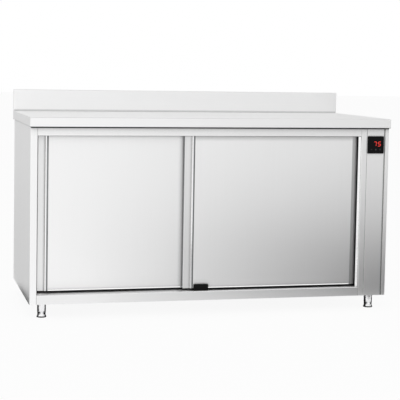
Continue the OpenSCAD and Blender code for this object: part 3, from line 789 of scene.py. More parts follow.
@dataclass
class Workshop:
    """Turns surfaces into finished pieces that ride on the frame's bodies."""

    nodes: dict[str, bpy.types.Object]
    sharp_deg: float = 34.0
    broken_deg: float = 50.0
    weld: float = 0.02
    flat_deg: float = 0.5

    def settle(self, piece: bpy.types.Object) -> None:
        """Writes a piece's modifiers into its mesh.

        Args:
            piece: the piece.
        """
        bpy.context.view_layer.update()
        graph = bpy.context.evaluated_depsgraph_get()
        mesh = bpy.data.meshes.new_from_object(
            piece.evaluated_get(graph), preserve_all_data_layers=True, depsgraph=graph
        )
        old, piece.data = piece.data, mesh
        piece.modifiers.clear()
        bpy.data.meshes.remove(old)

    def shade(self, piece: bpy.types.Object) -> None:
        """Smooths the roundings and keeps every flat face flat.

        Args:
            piece: the piece, its shape final.
        """
        mesh = piece.data
        mesh.polygons.foreach_set("use_smooth", np.ones(len(mesh.polygons), bool))
        mesh.set_sharp_from_angle(angle=math.radians(self.sharp_deg))
        weigh = piece.modifiers.new("flats", "WEIGHTED_NORMAL")
        weigh.keep_sharp = True
        self.settle(piece)

    def finish(
        self,
        name: str,
        mesh: bpy.types.Mesh,
        finish: Finish,
        body: str,
        replaces: Sequence[str],
        wall: float = 0.0,
        bevel: float = 0.0,
        second: Second | None = None,
    ) -> None:
        """Gives a mesh its wall and broken edges, dresses it and hangs it on its body.

        Args:
            name: the piece's name.
            mesh: its mesh, in place, in metres.
            finish: its finish.
            body: the body it rides on.
            replaces: the CAD nodes it stands for.
            wall: sheet thickness in millimetres, laid inside the surface.
            bevel: width in millimetres of the broken edges.
            second: says which face centres (N, 3), in millimetres, have another finish, and
                which.
        """
        piece = bpy.data.objects.new(name, mesh)
        bpy.context.scene.collection.objects.link(piece)
        if wall:
            sheet = piece.modifiers.new("sheet", "SOLIDIFY")
            sheet.thickness, sheet.offset, sheet.use_even_offset = wall * MM, -1.0, True
            self.settle(piece)
        if bevel:
            broken = piece.modifiers.new("broken_edges", "BEVEL")
            broken.width, broken.segments = bevel * MM, 2
            broken.limit_method, broken.angle_limit = "ANGLE", math.radians(self.broken_deg)
            self.settle(piece)
        piece.data.materials.clear()
        piece.data.materials.append(finish.material())
        if second:
            where, other = second
            piece.data.materials.append(other.material())
            middle = np.empty(len(piece.data.polygons) * 3)
            piece.data.polygons.foreach_get("center", middle)
            chosen = where(middle.reshape(-1, 3) / MM)
            piece.data.polygons.foreach_set("material_index", chosen.astype(np.int32))
        self.shade(piece)
        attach(piece, body)
        if replaces:
            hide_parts(*replaces)
        log.info("%s: %d faces on %s", piece.name, len(piece.data.polygons), body)

    def make(
        self,
        name: str,
        shell: Shell,
        finish: Finish,
        body: str = "cabinet",
        replaces: Sequence[str] = (),
        wall: float = 0.0,
        second: Second | None = None,
    ) -> None:
        """Makes a piece from a surface.

        Args:
            name: the piece's name.
            shell: its surface in millimetres.
            finish: its finish.
            body: the body it rides on.
            replaces: the CAD nodes it stands for.
            wall: sheet thickness in millimetres, laid inside the surface.
            second: says which face centres, in millimetres, have another finish, and which.
        """
        mesh = bpy.data.meshes.new(name)
        faces = [corners for block in shell.faces for corners in block.tolist()]
        mesh.from_pydata((shell.points * MM).tolist(), [], faces)
        mesh.update()
        self.finish(name, mesh, finish, body, replaces, wall, second=second)

    def soften(
        self, name: str, node: str, finish: Finish, body: str = "cabinet", bevel: float = 0.4
    ) -> None:
        """Copies a CAD node, welds it and breaks its edges.

        Args:
            name: the piece's name.
            node: the CAD node it stands for.
            finish: its finish.
            body: the body it rides on.
            bevel: width in millimetres of the broken edges.
        """
        mesh = self.nodes[node].data.copy()
        mesh.name = name
        work = bmesh.new()
        work.from_mesh(mesh)
        bmesh.ops.remove_doubles(work, verts=work.verts, dist=self.weld * MM)
        flat = math.radians(self.flat_deg)
        bmesh.ops.dissolve_limit(work, angle_limit=flat, verts=work.verts, edges=work.edges)
        work.to_mesh(mesh)
        work.free()
        self.finish(name, mesh, finish, body, [node], bevel=bevel)

    def dress(self, finish: Finish, *names: str) -> None:
        """Gives CAD nodes that stay as they are a finish.

        Args:
            finish: the finish.
            names: the nodes.
        """
        for name in names:
            slots = self.nodes[name].material_slots
            if not slots:
                self.nodes[name].data.materials.append(finish.material())
            for slot in slots:
                slot.material = finish.material()
        log.info("%s: %s", finish.title, ", ".join(names))


# ---------------------------------------------------------------- sub-assemblies


@dataclass
class Plan:
    """Main planes of the cupboard in millimetres, shared by its sub-assemblies."""

    top: float = 850.0
    body_x: float = 797.0
    front: float = -338.0
    rear: float = 310.0
    foot: float = 62.0
    head: float = 810.0
    sheet: float = 1.2
    room: Pair = (-767.0, 667.0)
    room_floor: float = 102.0
    room_top: float = 772.0
    room_front: float = -260.0
    fold: Pair = (67.2, 808.8)
    fold_depth: float = 4.0

    def upright(self, chain: Chain, radii: Sequence[float]) -> Shell:
        """Sheet bent along a chain in plan; its inner folds stand on the mounting plates.

        Args:
            chain: the chain's corners.
            radii: radius at each corner.

        Returns:
            The surface, the inner folds shorter at both ends than the front.
        """
        path = rounded(chain, radii)
        inner = path.points[:, 1] > self.front + self.fold_depth
        low = np.where(inner, self.fold[0], self.foot)
        high = np.where(inner, self.fold[1], self.head)
        return prism(path, Axis.Z, (low, high), capped=False)


@dataclass
class Assembly(ABC):
    """A group of pieces that are made and fitted together."""

    plan: Plan

    @abstractmethod
    def build(self, shop: Workshop) -> None:
        """Makes and dresses the group's pieces.

        Args:
            shop: the workshop that makes them.
        """


@dataclass
class Worktop(Assembly):
    """Folded worktop with its edge on all sides, and the hollow upstand behind it."""

    half: float = 800.0
    front: float = -350.0
    rear: float = 350.0
    upstand: float = 950.0
    upstand_front: float = 330.0
    sheet: float = 1.5
    lip: float = 15.0
    # Height of the dark bead: partly a joint, partly painted shade for the shadow under the edge.
    bead: float = 4.5
    cove: float = 2.5
    nose: float = 3.0
    lip_round: float = 2.2
    lip_share: float = 1.2
    upstand_round: float = 2.6
    end_round: float = 2.0
    seal_in: float = 1.0
    seal_y: Pair = (-0.6, 1.0)
    seal_gap: float = 0.05

    def shell(self) -> Shell:
        """One folded sheet walked from the rear lip over the upstand to the front lip.

        Returns:
            The sheet's outer surface.
        """
        under, top = self.plan.head, self.plan.top
        chain = [
            (self.rear - self.lip, under),
            (self.rear, under),
            (self.rear, self.upstand),
            (self.upstand_front, self.upstand),
            (self.upstand_front, top),
            (self.front, top),
            (self.front, under),
            (self.front + self.lip, under),
        ]
        lip, head = self.lip_round, self.upstand_round
        section = rounded(chain, [0.0, lip, head, head, self.cove, self.nose, lip, 0.0])
        return prism(section, Axis.X, (-self.half, self.half), self.end_round, steps=4)

    def seal(self) -> Shell:
        """Dark rubber bead in the corner between the worktop's lip and the body.
        It is partly a joint and partly painted shade: its height stands for the shadow under the
        worktop's edge.

        Returns:
            The bead's surface.
        """
        plan = self.plan
        half, depth = plan.body_x - self.seal_in, tuple(plan.front + y for y in self.seal_y)
        height = (plan.head - self.bead, plan.head - self.seal_gap)
        return prism(rectangle(depth, height, 0.5, 3), Axis.X, (-half, half), 0.3)

    def build(self, shop: Workshop) -> None:
        """Makes the worktop and dresses what is glued under it.

        Args:
            shop: the workshop that makes them.
        """
        # Painted shade: the downward lip takes the dark fold finish, which draws the shadow line
        # under the worktop's edge.
        # The lip that faces down lies within its own thickness of the worktop's underside.
        under = self.plan.head + self.lip_share * self.sheet
        second = (lambda at: at[:, 2] < under, FOLD_SHADE_STEEL)
        names = ["worktop"]
        shop.make(
            "worktop_sheet", self.shell(), TOP_STEEL, replaces=names, wall=self.sheet, second=second
        )
        # Dark bead under the worktop's edge: partly a joint, partly painted shade.
        shop.make("worktop_seal", self.seal(), RUBBER)
        shop.dress(ChipBoard(), "worktop_board")
        shop.dress(DippedZinc(), "worktop_channels")


@dataclass
class FrontFrame(Assembly):
    """Posts, rails and end panels: folded sheets around the door opening."""

    post_right: float = 694.0
    corner: float = 3.0
    fold: float = 2.0
    return_depth: float = 14.0
    rail_return: float = 20.0
    rail_round: float = 1.5
    rail_under: float = 1.3
    sill_fold: float = 20.0
    sill_round: float = 3.5
    strip: float = 18.0
    joint_w: float = 5.0
    joint_d: float = 5.0
    joint_round: float = 1.3
    wrap: float = 4.0
    trim_t: float = 8.0
    trim_y: Pair = (-333.0, -323.0)
    trim_land: float = 1.0
    trim_gap: float = 0.5
    trim_in: float = 0.1
    side_gap: float = 0.2

    def level(self, chain: Chain, radii: Sequence[float]) -> Shell:
        """Sheet bent along a chain in section and carried across the door opening."""
        return prism(rounded(chain, radii), Axis.X, self.plan.room, capped=False)

    def trim(self) -> Shell:
        """Bevelled polished trim on the right jamb, in front of the closed door's end.

        Returns:
            Its surface, the bevel facing the opening.
        """
        plan, land = self.plan, self.trim_land
        right, left = plan.room[1], plan.room[1] - self.trim_t
        near, far = self.trim_y
        wall = right + self.trim_in
        outline = [(wall, far), (left, far), (left, far - land), (right - land, near), (wall, near)]
        span = (plan.room_floor + self.trim_gap, plan.room_top - self.trim_gap)
        return prism(rounded(outline, 0.4, closed=True), Axis.Z, span, 0.3)

    def on_sill_fold(self, at: Array) -> Array:
        """Whether face centres lie on the sill's front fold, which hands have burnished."""
        depth, height = at[:, 1] - self.plan.front, at[:, 2] - self.plan.room_floor
        return (depth < self.sill_round) & (height > -self.sill_round)

    def under_rail(self, at: Array) -> Array:
        """Whether face centres lie on the top rail's lower return, which takes the dark fold finish
        as painted shade.
        """
        return at[:, 2] < self.plan.room_top + self.rail_under

    def left_side(self) -> Shell:
        """Flat end panel between the post's wrapped corner and the back panel.

        Returns:
            The panel's outer surface.
        """
        plan = self.plan
        front, rear = plan.front + self.wrap + self.side_gap, plan.rear - plan.sheet
        path = rounded([(-plan.body_x, rear), (-plan.body_x, front)], 0.0)
        return prism(path, Axis.Z, (plan.foot, plan.head), capped=False)

    def right_side(self) -> Shell:
        """End panel that turns into the front strip and the floor of the shadow joint.

        Returns:
            The sheet's outer surface.
        """
        plan = self.plan
        strip_x = plan.body_x - self.strip
        joint_y = plan.front + self.joint_d - plan.sheet
        chain = [
            (strip_x - self.joint_w, joint_y),
            (strip_x, joint_y),
            (strip_x, plan.front),
            (plan.body_x, plan.front),
            (plan.body_x, plan.rear - plan.sheet),
        ]
        path = rounded(chain, [0.0, self.joint_round, self.fold, self.corner, 0.0])
        return prism(path, Axis.Z, (plan.foot, plan.head), capped=False)

    def posts(self) -> tuple[Shell, Shell]:
        """Left post from its wrapped corner to the jamb, and right post from the jamb.

        Returns:
            Both surfaces.
        """
        plan, fold = self.plan, self.fold
        (left, right), front, back = plan.room, plan.front, plan.room_front
        end, inside = -plan.body_x, self.post_right
        left_chain = [(end, front + self.wrap), (end, front), (left, front), (left, back)]
        turned = (inside, front + self.return_depth)
        right_chain = [(right, back), (right, front), (inside, front), turned]
        return (
            plan.upright(left_chain, [0.0, self.corner, fold, 0.0]),
            plan.upright(right_chain, [0.0, fold, fold, 0.0]),
        )

    def rails(self) -> tuple[Shell, Shell]:
        """Top rail with its lower return, and bottom rail with the sill.

        Returns:
            Both surfaces.
        """
        plan, fold = self.plan, self.fold
        front, back, sill, under = plan.front, plan.room_front, plan.room_floor, plan.room_top
        turned = (front + self.rail_return, under)
        top = [(back, plan.head), (front, plan.head), (front, under), turned]
        bottom = [(back, sill - self.sill_fold), (back, sill), (front, sill), (front, plan.foot)]
        return (
            self.level(top, [0.0, self.rail_round, fold, 0.0]),
            self.level(bottom, [0.0, fold, self.sill_round, 0.0]),
        )

    def build(self, shop: Workshop) -> None:
        """Makes the posts, rails and end panels.

        Args:
            shop: the workshop that makes them.
        """
        left_post, right_post = self.posts()
        top_rail, bottom_rail = self.rails()
        # The top rail's lower return takes the dark fold finish: painted shade.
        under, burnished = (self.under_rail, FOLD_SHADE_STEEL), (self.on_sill_fold, EDGE_STEEL)
        left_side, right_side = self.left_side(), self.right_side()
        for name, nodes, shell, finish, second in (
            ("left_post_sheet", ["left_post"], left_post, POST_STEEL, None),
            ("right_post_sheet", ["right_post"], right_post, POST_STEEL, None),
            ("top_rail_sheet", ["top_rail"], top_rail, RAIL_STEEL, under),
            ("right_jamb_trim", [], self.trim(), EDGE_STEEL, None),
            ("bottom_rail_sheet", ["bottom_rail"], bottom_rail, SILL_SHADE_STEEL, burnished),
            ("left_side_sheet", ["left_side_panel"], left_side, UPRIGHT_STEEL, None),
            ("right_side_sheet", ["right_side_panel"], right_side, POST_STEEL, None),
        ):
            wall = self.plan.sheet if nodes else 0.0
            shop.make(name, shell, finish, replaces=nodes, wall=wall, second=second)


@dataclass
class ControlColumn(Assembly):
    """Front cover of the column, its square touch display and the parts behind them."""

    x: Pair = (694.0, 774.0)
    return_depth: float = 14.0
    fold: float = 2.0
    glass: float = 76.0
    glass_t: float = 3.0
    glass_z: float = 736.0
    glass_round: float = 3.0
    ground: float = 0.8
    digit_h: float = 22.0
    digit_w: float = 15.0
    digit_left: Pair = (-13.0, 7.0)
    digit_foot: float = -7.0
    bar: float = 3.4
    bar_gap: float = 0.35
    slant_deg: float = 10.0
    mark_t: float = 0.15
    mark_z: float = -21.0
    mark_pitch: float = 20.0
    mark_arm: float = 3.0
    mark_half: float = 0.6
    ring_r: Pair = (3.4, 2.3)
    ring_bar: Pair = (0.5, 4.5)
    ring_gap_deg: float = 60.0

    SEGMENTS = {"7": "abc", "5": "afgcd"}

    @property
    def mid(self) -> float:
        """Middle of the column's cover."""
        return sum(self.x) / 2

    @property
    def lit(self) -> Pair:
        """Front and back of what is lit behind the glass's face."""
        face = self.plan.front - self.glass_t
        return (face - self.mark_t, face + 0.05)

    def cover(self) -> Shell:
        """Cover with a fold along each side.

        Returns:
            The sheet's outer surface.
        """
        (left, right), front = self.x, self.plan.front
        turned = front + self.return_depth
        chain = [(left, turned), (left, front), (right, front), (right, turned)]
        return self.plan.upright(chain, [0.0, self.fold, self.fold, 0.0])

    def pane(self) -> Shell:
        """Square glass with ground edges.

        Returns:
            The glass's surface.
        """
        half, front = self.glass / 2, self.plan.front
        x, z = (self.mid - half, self.mid + half), (self.glass_z - half, self.glass_z + half)
        outline = rectangle(x, z, self.glass_round)
        return prism(outline, Axis.Y, (front - self.glass_t, front), self.ground)

    def digit(self, figure: str, left: float, base: float) -> Shell:
        """Seven-segment figure: each lit bar a hexagon, all of them sheared to the right.

        Args:
            figure: the figure.
            left: place of its left side.
            base: height of its foot.

        Returns:
            The lit bars as thin prisms in front of the glass.
        """
        w, h, b = self.digit_w, self.digit_h, self.bar
        level = {"a": h - b / 2, "g": h / 2, "d": b / 2}
        upright = {"f": (b / 2, 1), "b": (w - b / 2, 1), "e": (b / 2, 0), "c": (w - b / 2, 0)}
        lean = math.tan(math.radians(self.slant_deg))
        shells = []
        for name in self.SEGMENTS[figure]:
            lying = name in level
            if lying:
                run, middle = (w - b) / 2, (w / 2, level[name])
            else:
                x, upper = upright[name]
                run = (h - b) / 4
                middle = (x, b / 2 + run + upper * 2 * run)
            end = run - self.bar_gap
            side = end - b / 2
            tip = [(-end, 0), (-side, -b / 2), (side, -b / 2)]
            bar = np.array(tip + [(-x, -y) for x, y in tip])
            bar = bar if lying else np.stack([-bar[:, 1], bar[:, 0]], 1)
            points = bar + middle
            points[:, 0] += points[:, 1] * lean
            outline = rounded(points + (left, base), 0.25, closed=True, steps=2)
            shells.append(prism(outline, Axis.Y, self.lit))
        return join(shells)

    def marks(self) -> Shell:
        """Three touch marks: a minus, an open ring with its bar, and a plus.

        Returns:
            The marks as thin prisms in front of the glass.
        """
        z, pitch = self.glass_z + self.mark_z, self.mark_pitch
        thin, arm = self.mark_half, self.mark_arm
        strokes = [
            ((-pitch - arm, -pitch + arm), (z - thin, z + thin)),
            ((pitch - arm, pitch + arm), (z - thin, z + thin)),
            ((pitch - thin, pitch + thin), (z - arm, z + arm)),
            ((-thin, thin), (z + self.ring_bar[0], z + self.ring_bar[1])),
        ]
        bars = [
            prism(rectangle((self.mid + x[0], self.mid + x[1]), y, 0.4, 2), Axis.Y, self.lit)
            for x, y in strokes
        ]
        gap, top = self.ring_gap_deg / 2, 90.0
        turn = np.radians(np.linspace(top + gap, top + 360.0 - gap, 25))
        arc = np.stack([np.cos(turn), np.sin(turn)], 1)
        outer, inner = self.ring_r
        rim = np.concatenate([arc * outer, arc[::-1] * inner]) + (self.mid, z)
        ring = Outline(rim, np.zeros_like(rim), True)
        return join([*bars, prism(ring, Axis.Y, self.lit)])

    def build(self, shop: Workshop) -> None:
        """Makes the cover and the display and dresses the parts inside the column.

        Args:
            shop: the workshop that makes them.
        """
        cover, names = self.cover(), ["control_fascia"]
        shop.make("column_cover", cover, POST_STEEL, replaces=names, wall=self.plan.sheet)
        shop.make("display_pane", self.pane(), TouchGlass(), replaces=["display_glass"])
        base = self.glass_z + self.digit_foot
        figures = [
            self.digit(figure, self.mid + left, base)
            for figure, left in zip(self.SEGMENTS, self.digit_left)
        ]
        shop.make("display_figures", join(figures), LitMark())
        shop.make("display_marks", self.marks(), LitMark("#6f7478", 0.35))
        shop.dress(BLACK_NYLON, "controller_body", "power_relay")
        shop.dress(NYLON, "terminal_block")


@dataclass
class SlidingDoor(Assembly):
    """One door: pressed outer pan, folded grip at its left end, inner sheet, hangers, rollers."""

    side: str
    x: float
    y: float
    width: float = 788.0
    foot: float = 110.0
    height: float = 670.0
    thick: float = 20.0
    step_w: float = 31.0
    step_d: Pair = (5.0, 6.5)
    lip: float = 7.0
    groove: float = 6.0
    groove_d: float = 7.5
    groove_edge: float = 1.7
    end_w: float = 0.6
    end_d: float = 0.8
    hem: float = 1.5
    flare_h: float = 4.2
    flare_t: float = 1.0
    flare_lip: float = 0.7
    flare_end: float = 1.0
    rub_t: float = 0.3
    rub_in: float = 0.5
    bond: float = 0.4
    slope_w: float = 24.0
    slope_d: float = 3.2
    axle_in: float = 60.0
    axle_z: float = 794.6
    axle_r: float = 2.5
    roller_r: float = 8.0
    roller_w: float = 8.0

    @property
    def body(self) -> str:
        """The body that the door rides on."""
        return f"{self.side}_door"

    @property
    def face(self) -> float:
        """Where the face starts, from the door's left end."""
        return self.step_w + self.lip + self.groove

    def at(self, chain: Chain) -> list[Pair]:
        """Moves a chain from the door's own frame to its place in plan."""
        return [(self.x + u, self.y + v) for u, v in chain]

    def pan(self) -> Shell:
        """Face between the groove's wall and the sloping fold, with its head and foot folded.

        Returns:
            The sheet's outer surface.
        """
        face, slope, end = self.face, self.width - self.slope_w, self.width
        inner = self.thick - self.plan.sheet
        chain = [(face, inner), (face, 0.0), (slope, 0.0), (end, self.slope_d), (end, inner)]
        path = rounded(self.at(chain), [0.0, 1.6, 3.0, 2.0, 0.0])
        return prism(path, Axis.Z, (self.foot, self.foot + self.height), self.hem)

    def on_slope(self, at: Array) -> Array:
        """Whether face centres lie on the sloping fold, which takes a greyer tint as painted shade.
        """
        return at[:, 0] - self.x > self.width - self.slope_w

    def flare(self) -> Shell:
        """Polished strip along the face's foot: it leans out downwards and catches the light.

        Returns:
            The strip's surface.
        """
        low, high = self.foot + self.bond, self.foot + self.flare_h
        near, wall, lip = self.y - self.flare_t, self.y + self.bond, low + self.flare_lip
        outline = [(near, low), (wall, low), (wall, high), (self.y - 0.05, high), (near, lip)]
        face_end = self.width - self.slope_w
        span = (self.x + self.face + self.flare_end, self.x + face_end - self.flare_end)
        return prism(rounded(outline, 0.15, closed=True), Axis.X, span, 0.3)

    def rub_strip(self) -> Shell:
        """Strip of the lip's front that hands keep bright, a third of a millimetre proud.

        Returns:
            The strip's surface.
        """
        start, proud = self.x + self.step_w, self.rub_t
        x = (start + self.rub_in, start + self.lip - self.rub_in)
        outline = rectangle(x, (self.y - proud, self.y + self.rub_in), 0.25, 3)
        return prism(outline, Axis.Z, (self.foot + proud, self.foot + self.height - proud), 0.2)

    def grip(self) -> Shell:
        """Finger step that slopes inwards, raised lip and pull groove, bent from one strip.

        Returns:
            The strip's outer surface.
        """
        step, lip_end, deep = self.step_w, self.step_w + self.lip, self.groove_d
        chain = [
            (0.0, self.thick - self.plan.sheet),
            (0.0, self.step_d[0]),
            (step, self.step_d[1]),
            (step, 0.0),
            (lip_end, 0.0),
            (lip_end, deep),
            (self.face, deep),
        ]
        path = rounded(self.at(chain), [0.0, 1.6, 1.4, 1.6, 1.6, 1.3, 0.0])
        return prism(path, Axis.Z, (self.foot, self.foot + self.height), capped=False)

    def unground(self, at: Array) -> Array:
        """Whether face centres lie in the pull groove or on the strip's outer end, which take a
        darker tint as painted shade.

        Args:
            at: face centres (N, 3).

        Returns:
            N truth values.
        """
        u, depth = at[:, 0] - self.x, at[:, 1] - self.y
        in_groove = u > self.step_w + self.lip - self.plan.sheet / 2
        at_end = (u < self.end_w) & (depth > self.step_d[0] + self.end_d)
        return in_groove & (depth > self.groove_edge) | at_end

    def roller(self, x: float) -> Shell:
        """Crowned roller with a recessed web between hub and tread.

        Args:
            x: place of its axle.

        Returns:
            The bored roller, its profile walked once round.
        """
        r, w, bore = self.roller_r, self.roller_w, self.axle_r + 0.05
        half = [
            (bore, 0.0), (bore + 1.4, 0.0), (bore + 1.8, 0.8), (r - 1.6, 0.8),
            (r - 1.2, 0.1), (r - 0.5, 0.3), (r - 0.1, 1.0),
        ]  # fmt: skip
        other = [(radius, w - height) for radius, height in half[::-1]]
        profile = np.array([*half, (r, w / 2), *other])
        centre = (x, self.y + self.thick / 2 - 0.5 - w, self.axle_z)
        return revolve(profile[:, 0], profile[:, 1], centre, Axis.Y, ring=True)

    def build(self, shop: Workshop) -> None:
        """Makes the door's pieces and its rollers.

        Args:
            shop: the workshop that makes them.
        """
        door, sheet, pan, grip = self.body, self.plan.sheet, self.pan(), self.grip()
        # The sloping fold and the pull groove take darker tints: painted shade.
        slope, groove = (self.on_slope, SLOPE_SHADE_STEEL), (self.unground, GROOVE_SHADE_STEEL)
        shop.make(f"{door}_pan", pan, UPRIGHT_STEEL, door, [f"{door}_skin"], sheet, slope)
        shop.make(f"{door}_flare", self.flare(), EDGE_STEEL, door)
        shop.make(f"{door}_rub_strip", self.rub_strip(), EDGE_STEEL, door)
        shop.make(f"{door}_pull", grip, GRIP_SHADE_STEEL, door, [f"{door}_grip"], sheet, groove)
        shop.soften(f"{door}_inner_sheet", f"{door}_liner", INNER_STEEL, door, bevel=0.5)
        shop.soften(f"{door}_hanger_pair", f"{door}_hangers", DippedZinc(), door)
        shop.dress(MineralWool(), f"{door}_core")
        for end, place in (("a", self.axle_in), ("b", self.width - self.axle_in)):
            name = f"{self.side}_roller_{end}"
            shop.make(f"{name}_wheel", self.roller(self.x + place), NYLON, name, [name])


@dataclass
class DoorGear(Assembly):
    """Track, stops and the guide block on the sill."""

    def build(self, shop: Workshop) -> None:
        """Dresses the track and its stops and rounds the guide.

        Args:
            shop: the workshop that makes them.
        """
        shop.soften("sill_guide", "centre_guide", BLACK_NYLON, bevel=1.0)
        shop.dress(DippedZinc(), "door_track")
        shop.dress(RUBBER, "track_stops")


@dataclass
class HeatedRoom(Assembly):
    """Inner walls, insulation and the slotted shelf on its uprights."""

    def build(self, shop: Workshop) -> None:
        """Breaks the shelf's edges and dresses the walls.

        Args:
            shop: the workshop that makes them.
        """
        shop.soften("shelf_sheet", "shelf", INNER_STEEL, "shelf", bevel=0.5)
        walls = ("left_wall", "floor", "ceiling", "back_wall")
        fittings = ("duct_partition", "shelf_uprights", "shelf_clips")
        shop.dress(INNER_STEEL, *(f"inner_{wall}" for wall in walls), *fittings)
        slabs = ("left", "right", "base", "top", "back")
        shop.dress(MineralWool(), *(f"{slab}_insulation" for slab in slabs))


@dataclass
class AirHeater(Assembly):
    """Duct, ring element, fan and probe behind the partition."""

    def build(self, shop: Workshop) -> None:
        """Dresses the heater's parts.

        Args:
            shop: the workshop that makes them.
        """
        shop.dress(DippedZinc(), "air_duct", "fan_motor")
        shop.dress(ScaledAlloy(), "heating_element")
        shop.dress(PressedAluminium(), "fan_impeller")
        shop.dress(TurnedSteel(), "temperature_probe")


@dataclass
class BackWall(Assembly):
    """Back panel, its domed screws, the cable gland and the base panel."""

    def build(self, shop: Workshop) -> None:
        """Makes the screws and the gland and dresses the panels.

        Args:
            shop: the workshop that makes them.
        """
        shop.soften("back_sheet", "back_panel", LEVEL_STEEL, bevel=0.5)
        shop.dress(LEVEL_STEEL, "base_panel")
        shop.soften("back_screw_heads", "back_screws", TurnedSteel(), bevel=0.3)
        shop.soften("cable_gland_body", "cable_gland", BLACK_NYLON)


@dataclass
class Feet(Assembly):
    """Four levelling feet: a fixed tube with its stud, and a turning base with its stem."""

    x: float = 739.0
    y: Pair = (-286.0, 258.0)
    tube_r: float = 18.5
    tube_z: float = 24.3
    wall_r: float = 8.05
    stem_r: float = 8.0
    stem_z: float = 24.0
    stem_top: float = 57.5
    stud_r: float = 5.0
    stud_h: float = 13.0
    base_r: float = 21.0
    waist_r: float = 17.5
    pitch: float = 2.0
    thread_d: float = 0.7
    rings: int = 6
    steps: int = 48
    sole: float = 5.0

    def base(self, x: float, y: float) -> Shell:
        """Flared base with a waist, a flat on its sole and a threaded stem.

        The stem's radius is r - d |2 frac(z / pitch - turn) - 1|, a ridge that climbs by one
        pitch a turn.

        Args:
            x: place of its axis.
            y: place of its axis.

        Returns:
            The surface of base and stem.
        """
        base, waist, steps = self.base_r, self.waist_r, self.steps
        solid = np.array([
            (18.0, 0.0), (20.0, 0.0), (20.8, 0.4), (base, 1.2), (base, 2.6), (20.7, 3.4),
            (19.6, 5.2), (18.3, 8.2), (waist, 11.0), (waist, 16.0), (17.7, 19.0), (18.2, 22.0),
            (18.3, 23.4), (17.8, self.stem_z), (self.stem_r + 1.0, self.stem_z),
        ])  # fmt: skip
        z = np.arange(self.stem_z, self.stem_top - 1.0, self.pitch / self.rings)
        turn = np.arange(steps) / steps
        ridge = np.abs(2 * ((z[:, None] / self.pitch - turn) % 1.0) - 1)
        thread = self.stem_r - self.thread_d * (1 - ridge)
        tip = np.full((1, steps), self.stem_r - self.thread_d - 0.5)
        radius = np.concatenate([np.repeat(solid[:, :1], steps, 1), thread, tip])
        height = np.concatenate([solid[:, 1], z, [self.stem_top]])
        return revolve(radius, height, (x, y, 0.0), steps=steps, tips=(0.0, self.stem_top))

    def tube(self, x: float, y: float) -> Shell:
        """Tube with rounded rims, bored for the stem, and the stud on its closed head.

        Args:
            x: place of its axis.
            y: place of its axis.

        Returns:
            The surface of tube and stud.
        """
        r, low, high, bore = self.tube_r, self.tube_z, self.plan.foot, self.wall_r
        stud, tip, roof = self.stud_r, high + self.stud_h, self.stem_top + 1.0
        profile = np.array([
            (bore, roof), (bore, low + 1.0), (bore + 1.0, low),
            (r - 1.2, low), (r - 0.4, low + 0.3), (r, low + 1.2),
            (r, high - 1.2), (r - 0.4, high - 0.3), (r - 1.2, high),
            (stud, high), (stud, tip - 1.0), (stud - 1.0, tip),
        ])  # fmt: skip
        return revolve(profile[:, 0], profile[:, 1], (x, y, 0.0), tips=(roof, tip))

    def build(self, shop: Workshop) -> None:
        """Makes the four tubes as one piece and a turning base for each foot.

        Args:
            shop: the workshop that makes them.
        """
        (front, rear), x = self.y, self.x
        places = {"fl": (-x, front), "fr": (x, front), "rl": (-x, rear), "rr": (x, rear)}
        tubes = join(self.tube(*place) for place in places.values())
        shop.make("foot_tube_set", tubes, FOOT_STEEL, replaces=["foot_tubes"])
        sole = (lambda at: at[:, 2] < self.sole, BLACK_NYLON)
        for name, place in places.items():
            base, nodes = self.base(*place), [f"foot_adjuster_{name}"]
            shop.make(f"foot_base_{name}", base, FOOT_STEEL, f"foot_{name}", nodes, second=sole)
        shop.dress(DippedZinc(), "foot_plates")


# ---------------------------------------------------------------- studio


def hang(name: str, corners: Sequence[Triple]) -> tuple[bpy.types.Object, Tree]:
    """Makes one flat panel of the studio, with an empty material.

    Args:
        name: the panel's name.
        corners: its corners, in metres.

    Returns:
        The panel and its material's node tree.
    """
    mesh = bpy.data.meshes.new(name)
    mesh.from_pydata(corners, [], [tuple(range(len(corners)))])
    panel = bpy.data.objects.new(name, mesh)
    bpy.context.scene.collection.objects.link(panel)
    material = bpy.data.materials.new(name)
    material.use_nodes = True
    material.node_tree.nodes.clear()
    mesh.materials.append(material)
    return panel, material.node_tree


@dataclass
class Card:
    """Grey card that only reflections see, as a studio's flag: it shapes the light on steel.

    Its grey runs evenly from the side at its corner to the far side.
    """

    name: str
    corner: Triple
    across: Triple
    up: Triple
    near: str
    far: str

    def build(self) -> None:
        """Hangs the card from its corner and two sides, in metres."""
        corner, across, up = (np.array(v) for v in (self.corner, self.across, self.up))
        points = [corner, corner + across, corner + across + up, corner + up]
        card, tree = hang(self.name, [tuple(point) for point in points])
        place = add_node(tree, "TexCoord").outputs["Object"]
        less, dot = {"operation": "SUBTRACT"}, {"operation": "DOT_PRODUCT"}
        start = add_node(tree, "VectorMath", {0: place, 1: corner}, less).outputs[0]
        rate = across / (across @ across)
        run = add_node(tree, "VectorMath", {0: start, 1: rate}, dot).outputs["Value"]
        greys = {0: run, 6: linear(self.near), 7: linear(self.far)}
        shade = add_node(tree, "Mix", greys, COLOURS).outputs[2]
        glow = add_node(tree, "Emission", {"Color": shade}).outputs[0]
        add_node(tree, "OutputMaterial", {"Surface": glow})
        card.visible_camera = card.visible_diffuse = False
        card.visible_transmission = card.visible_shadow = False


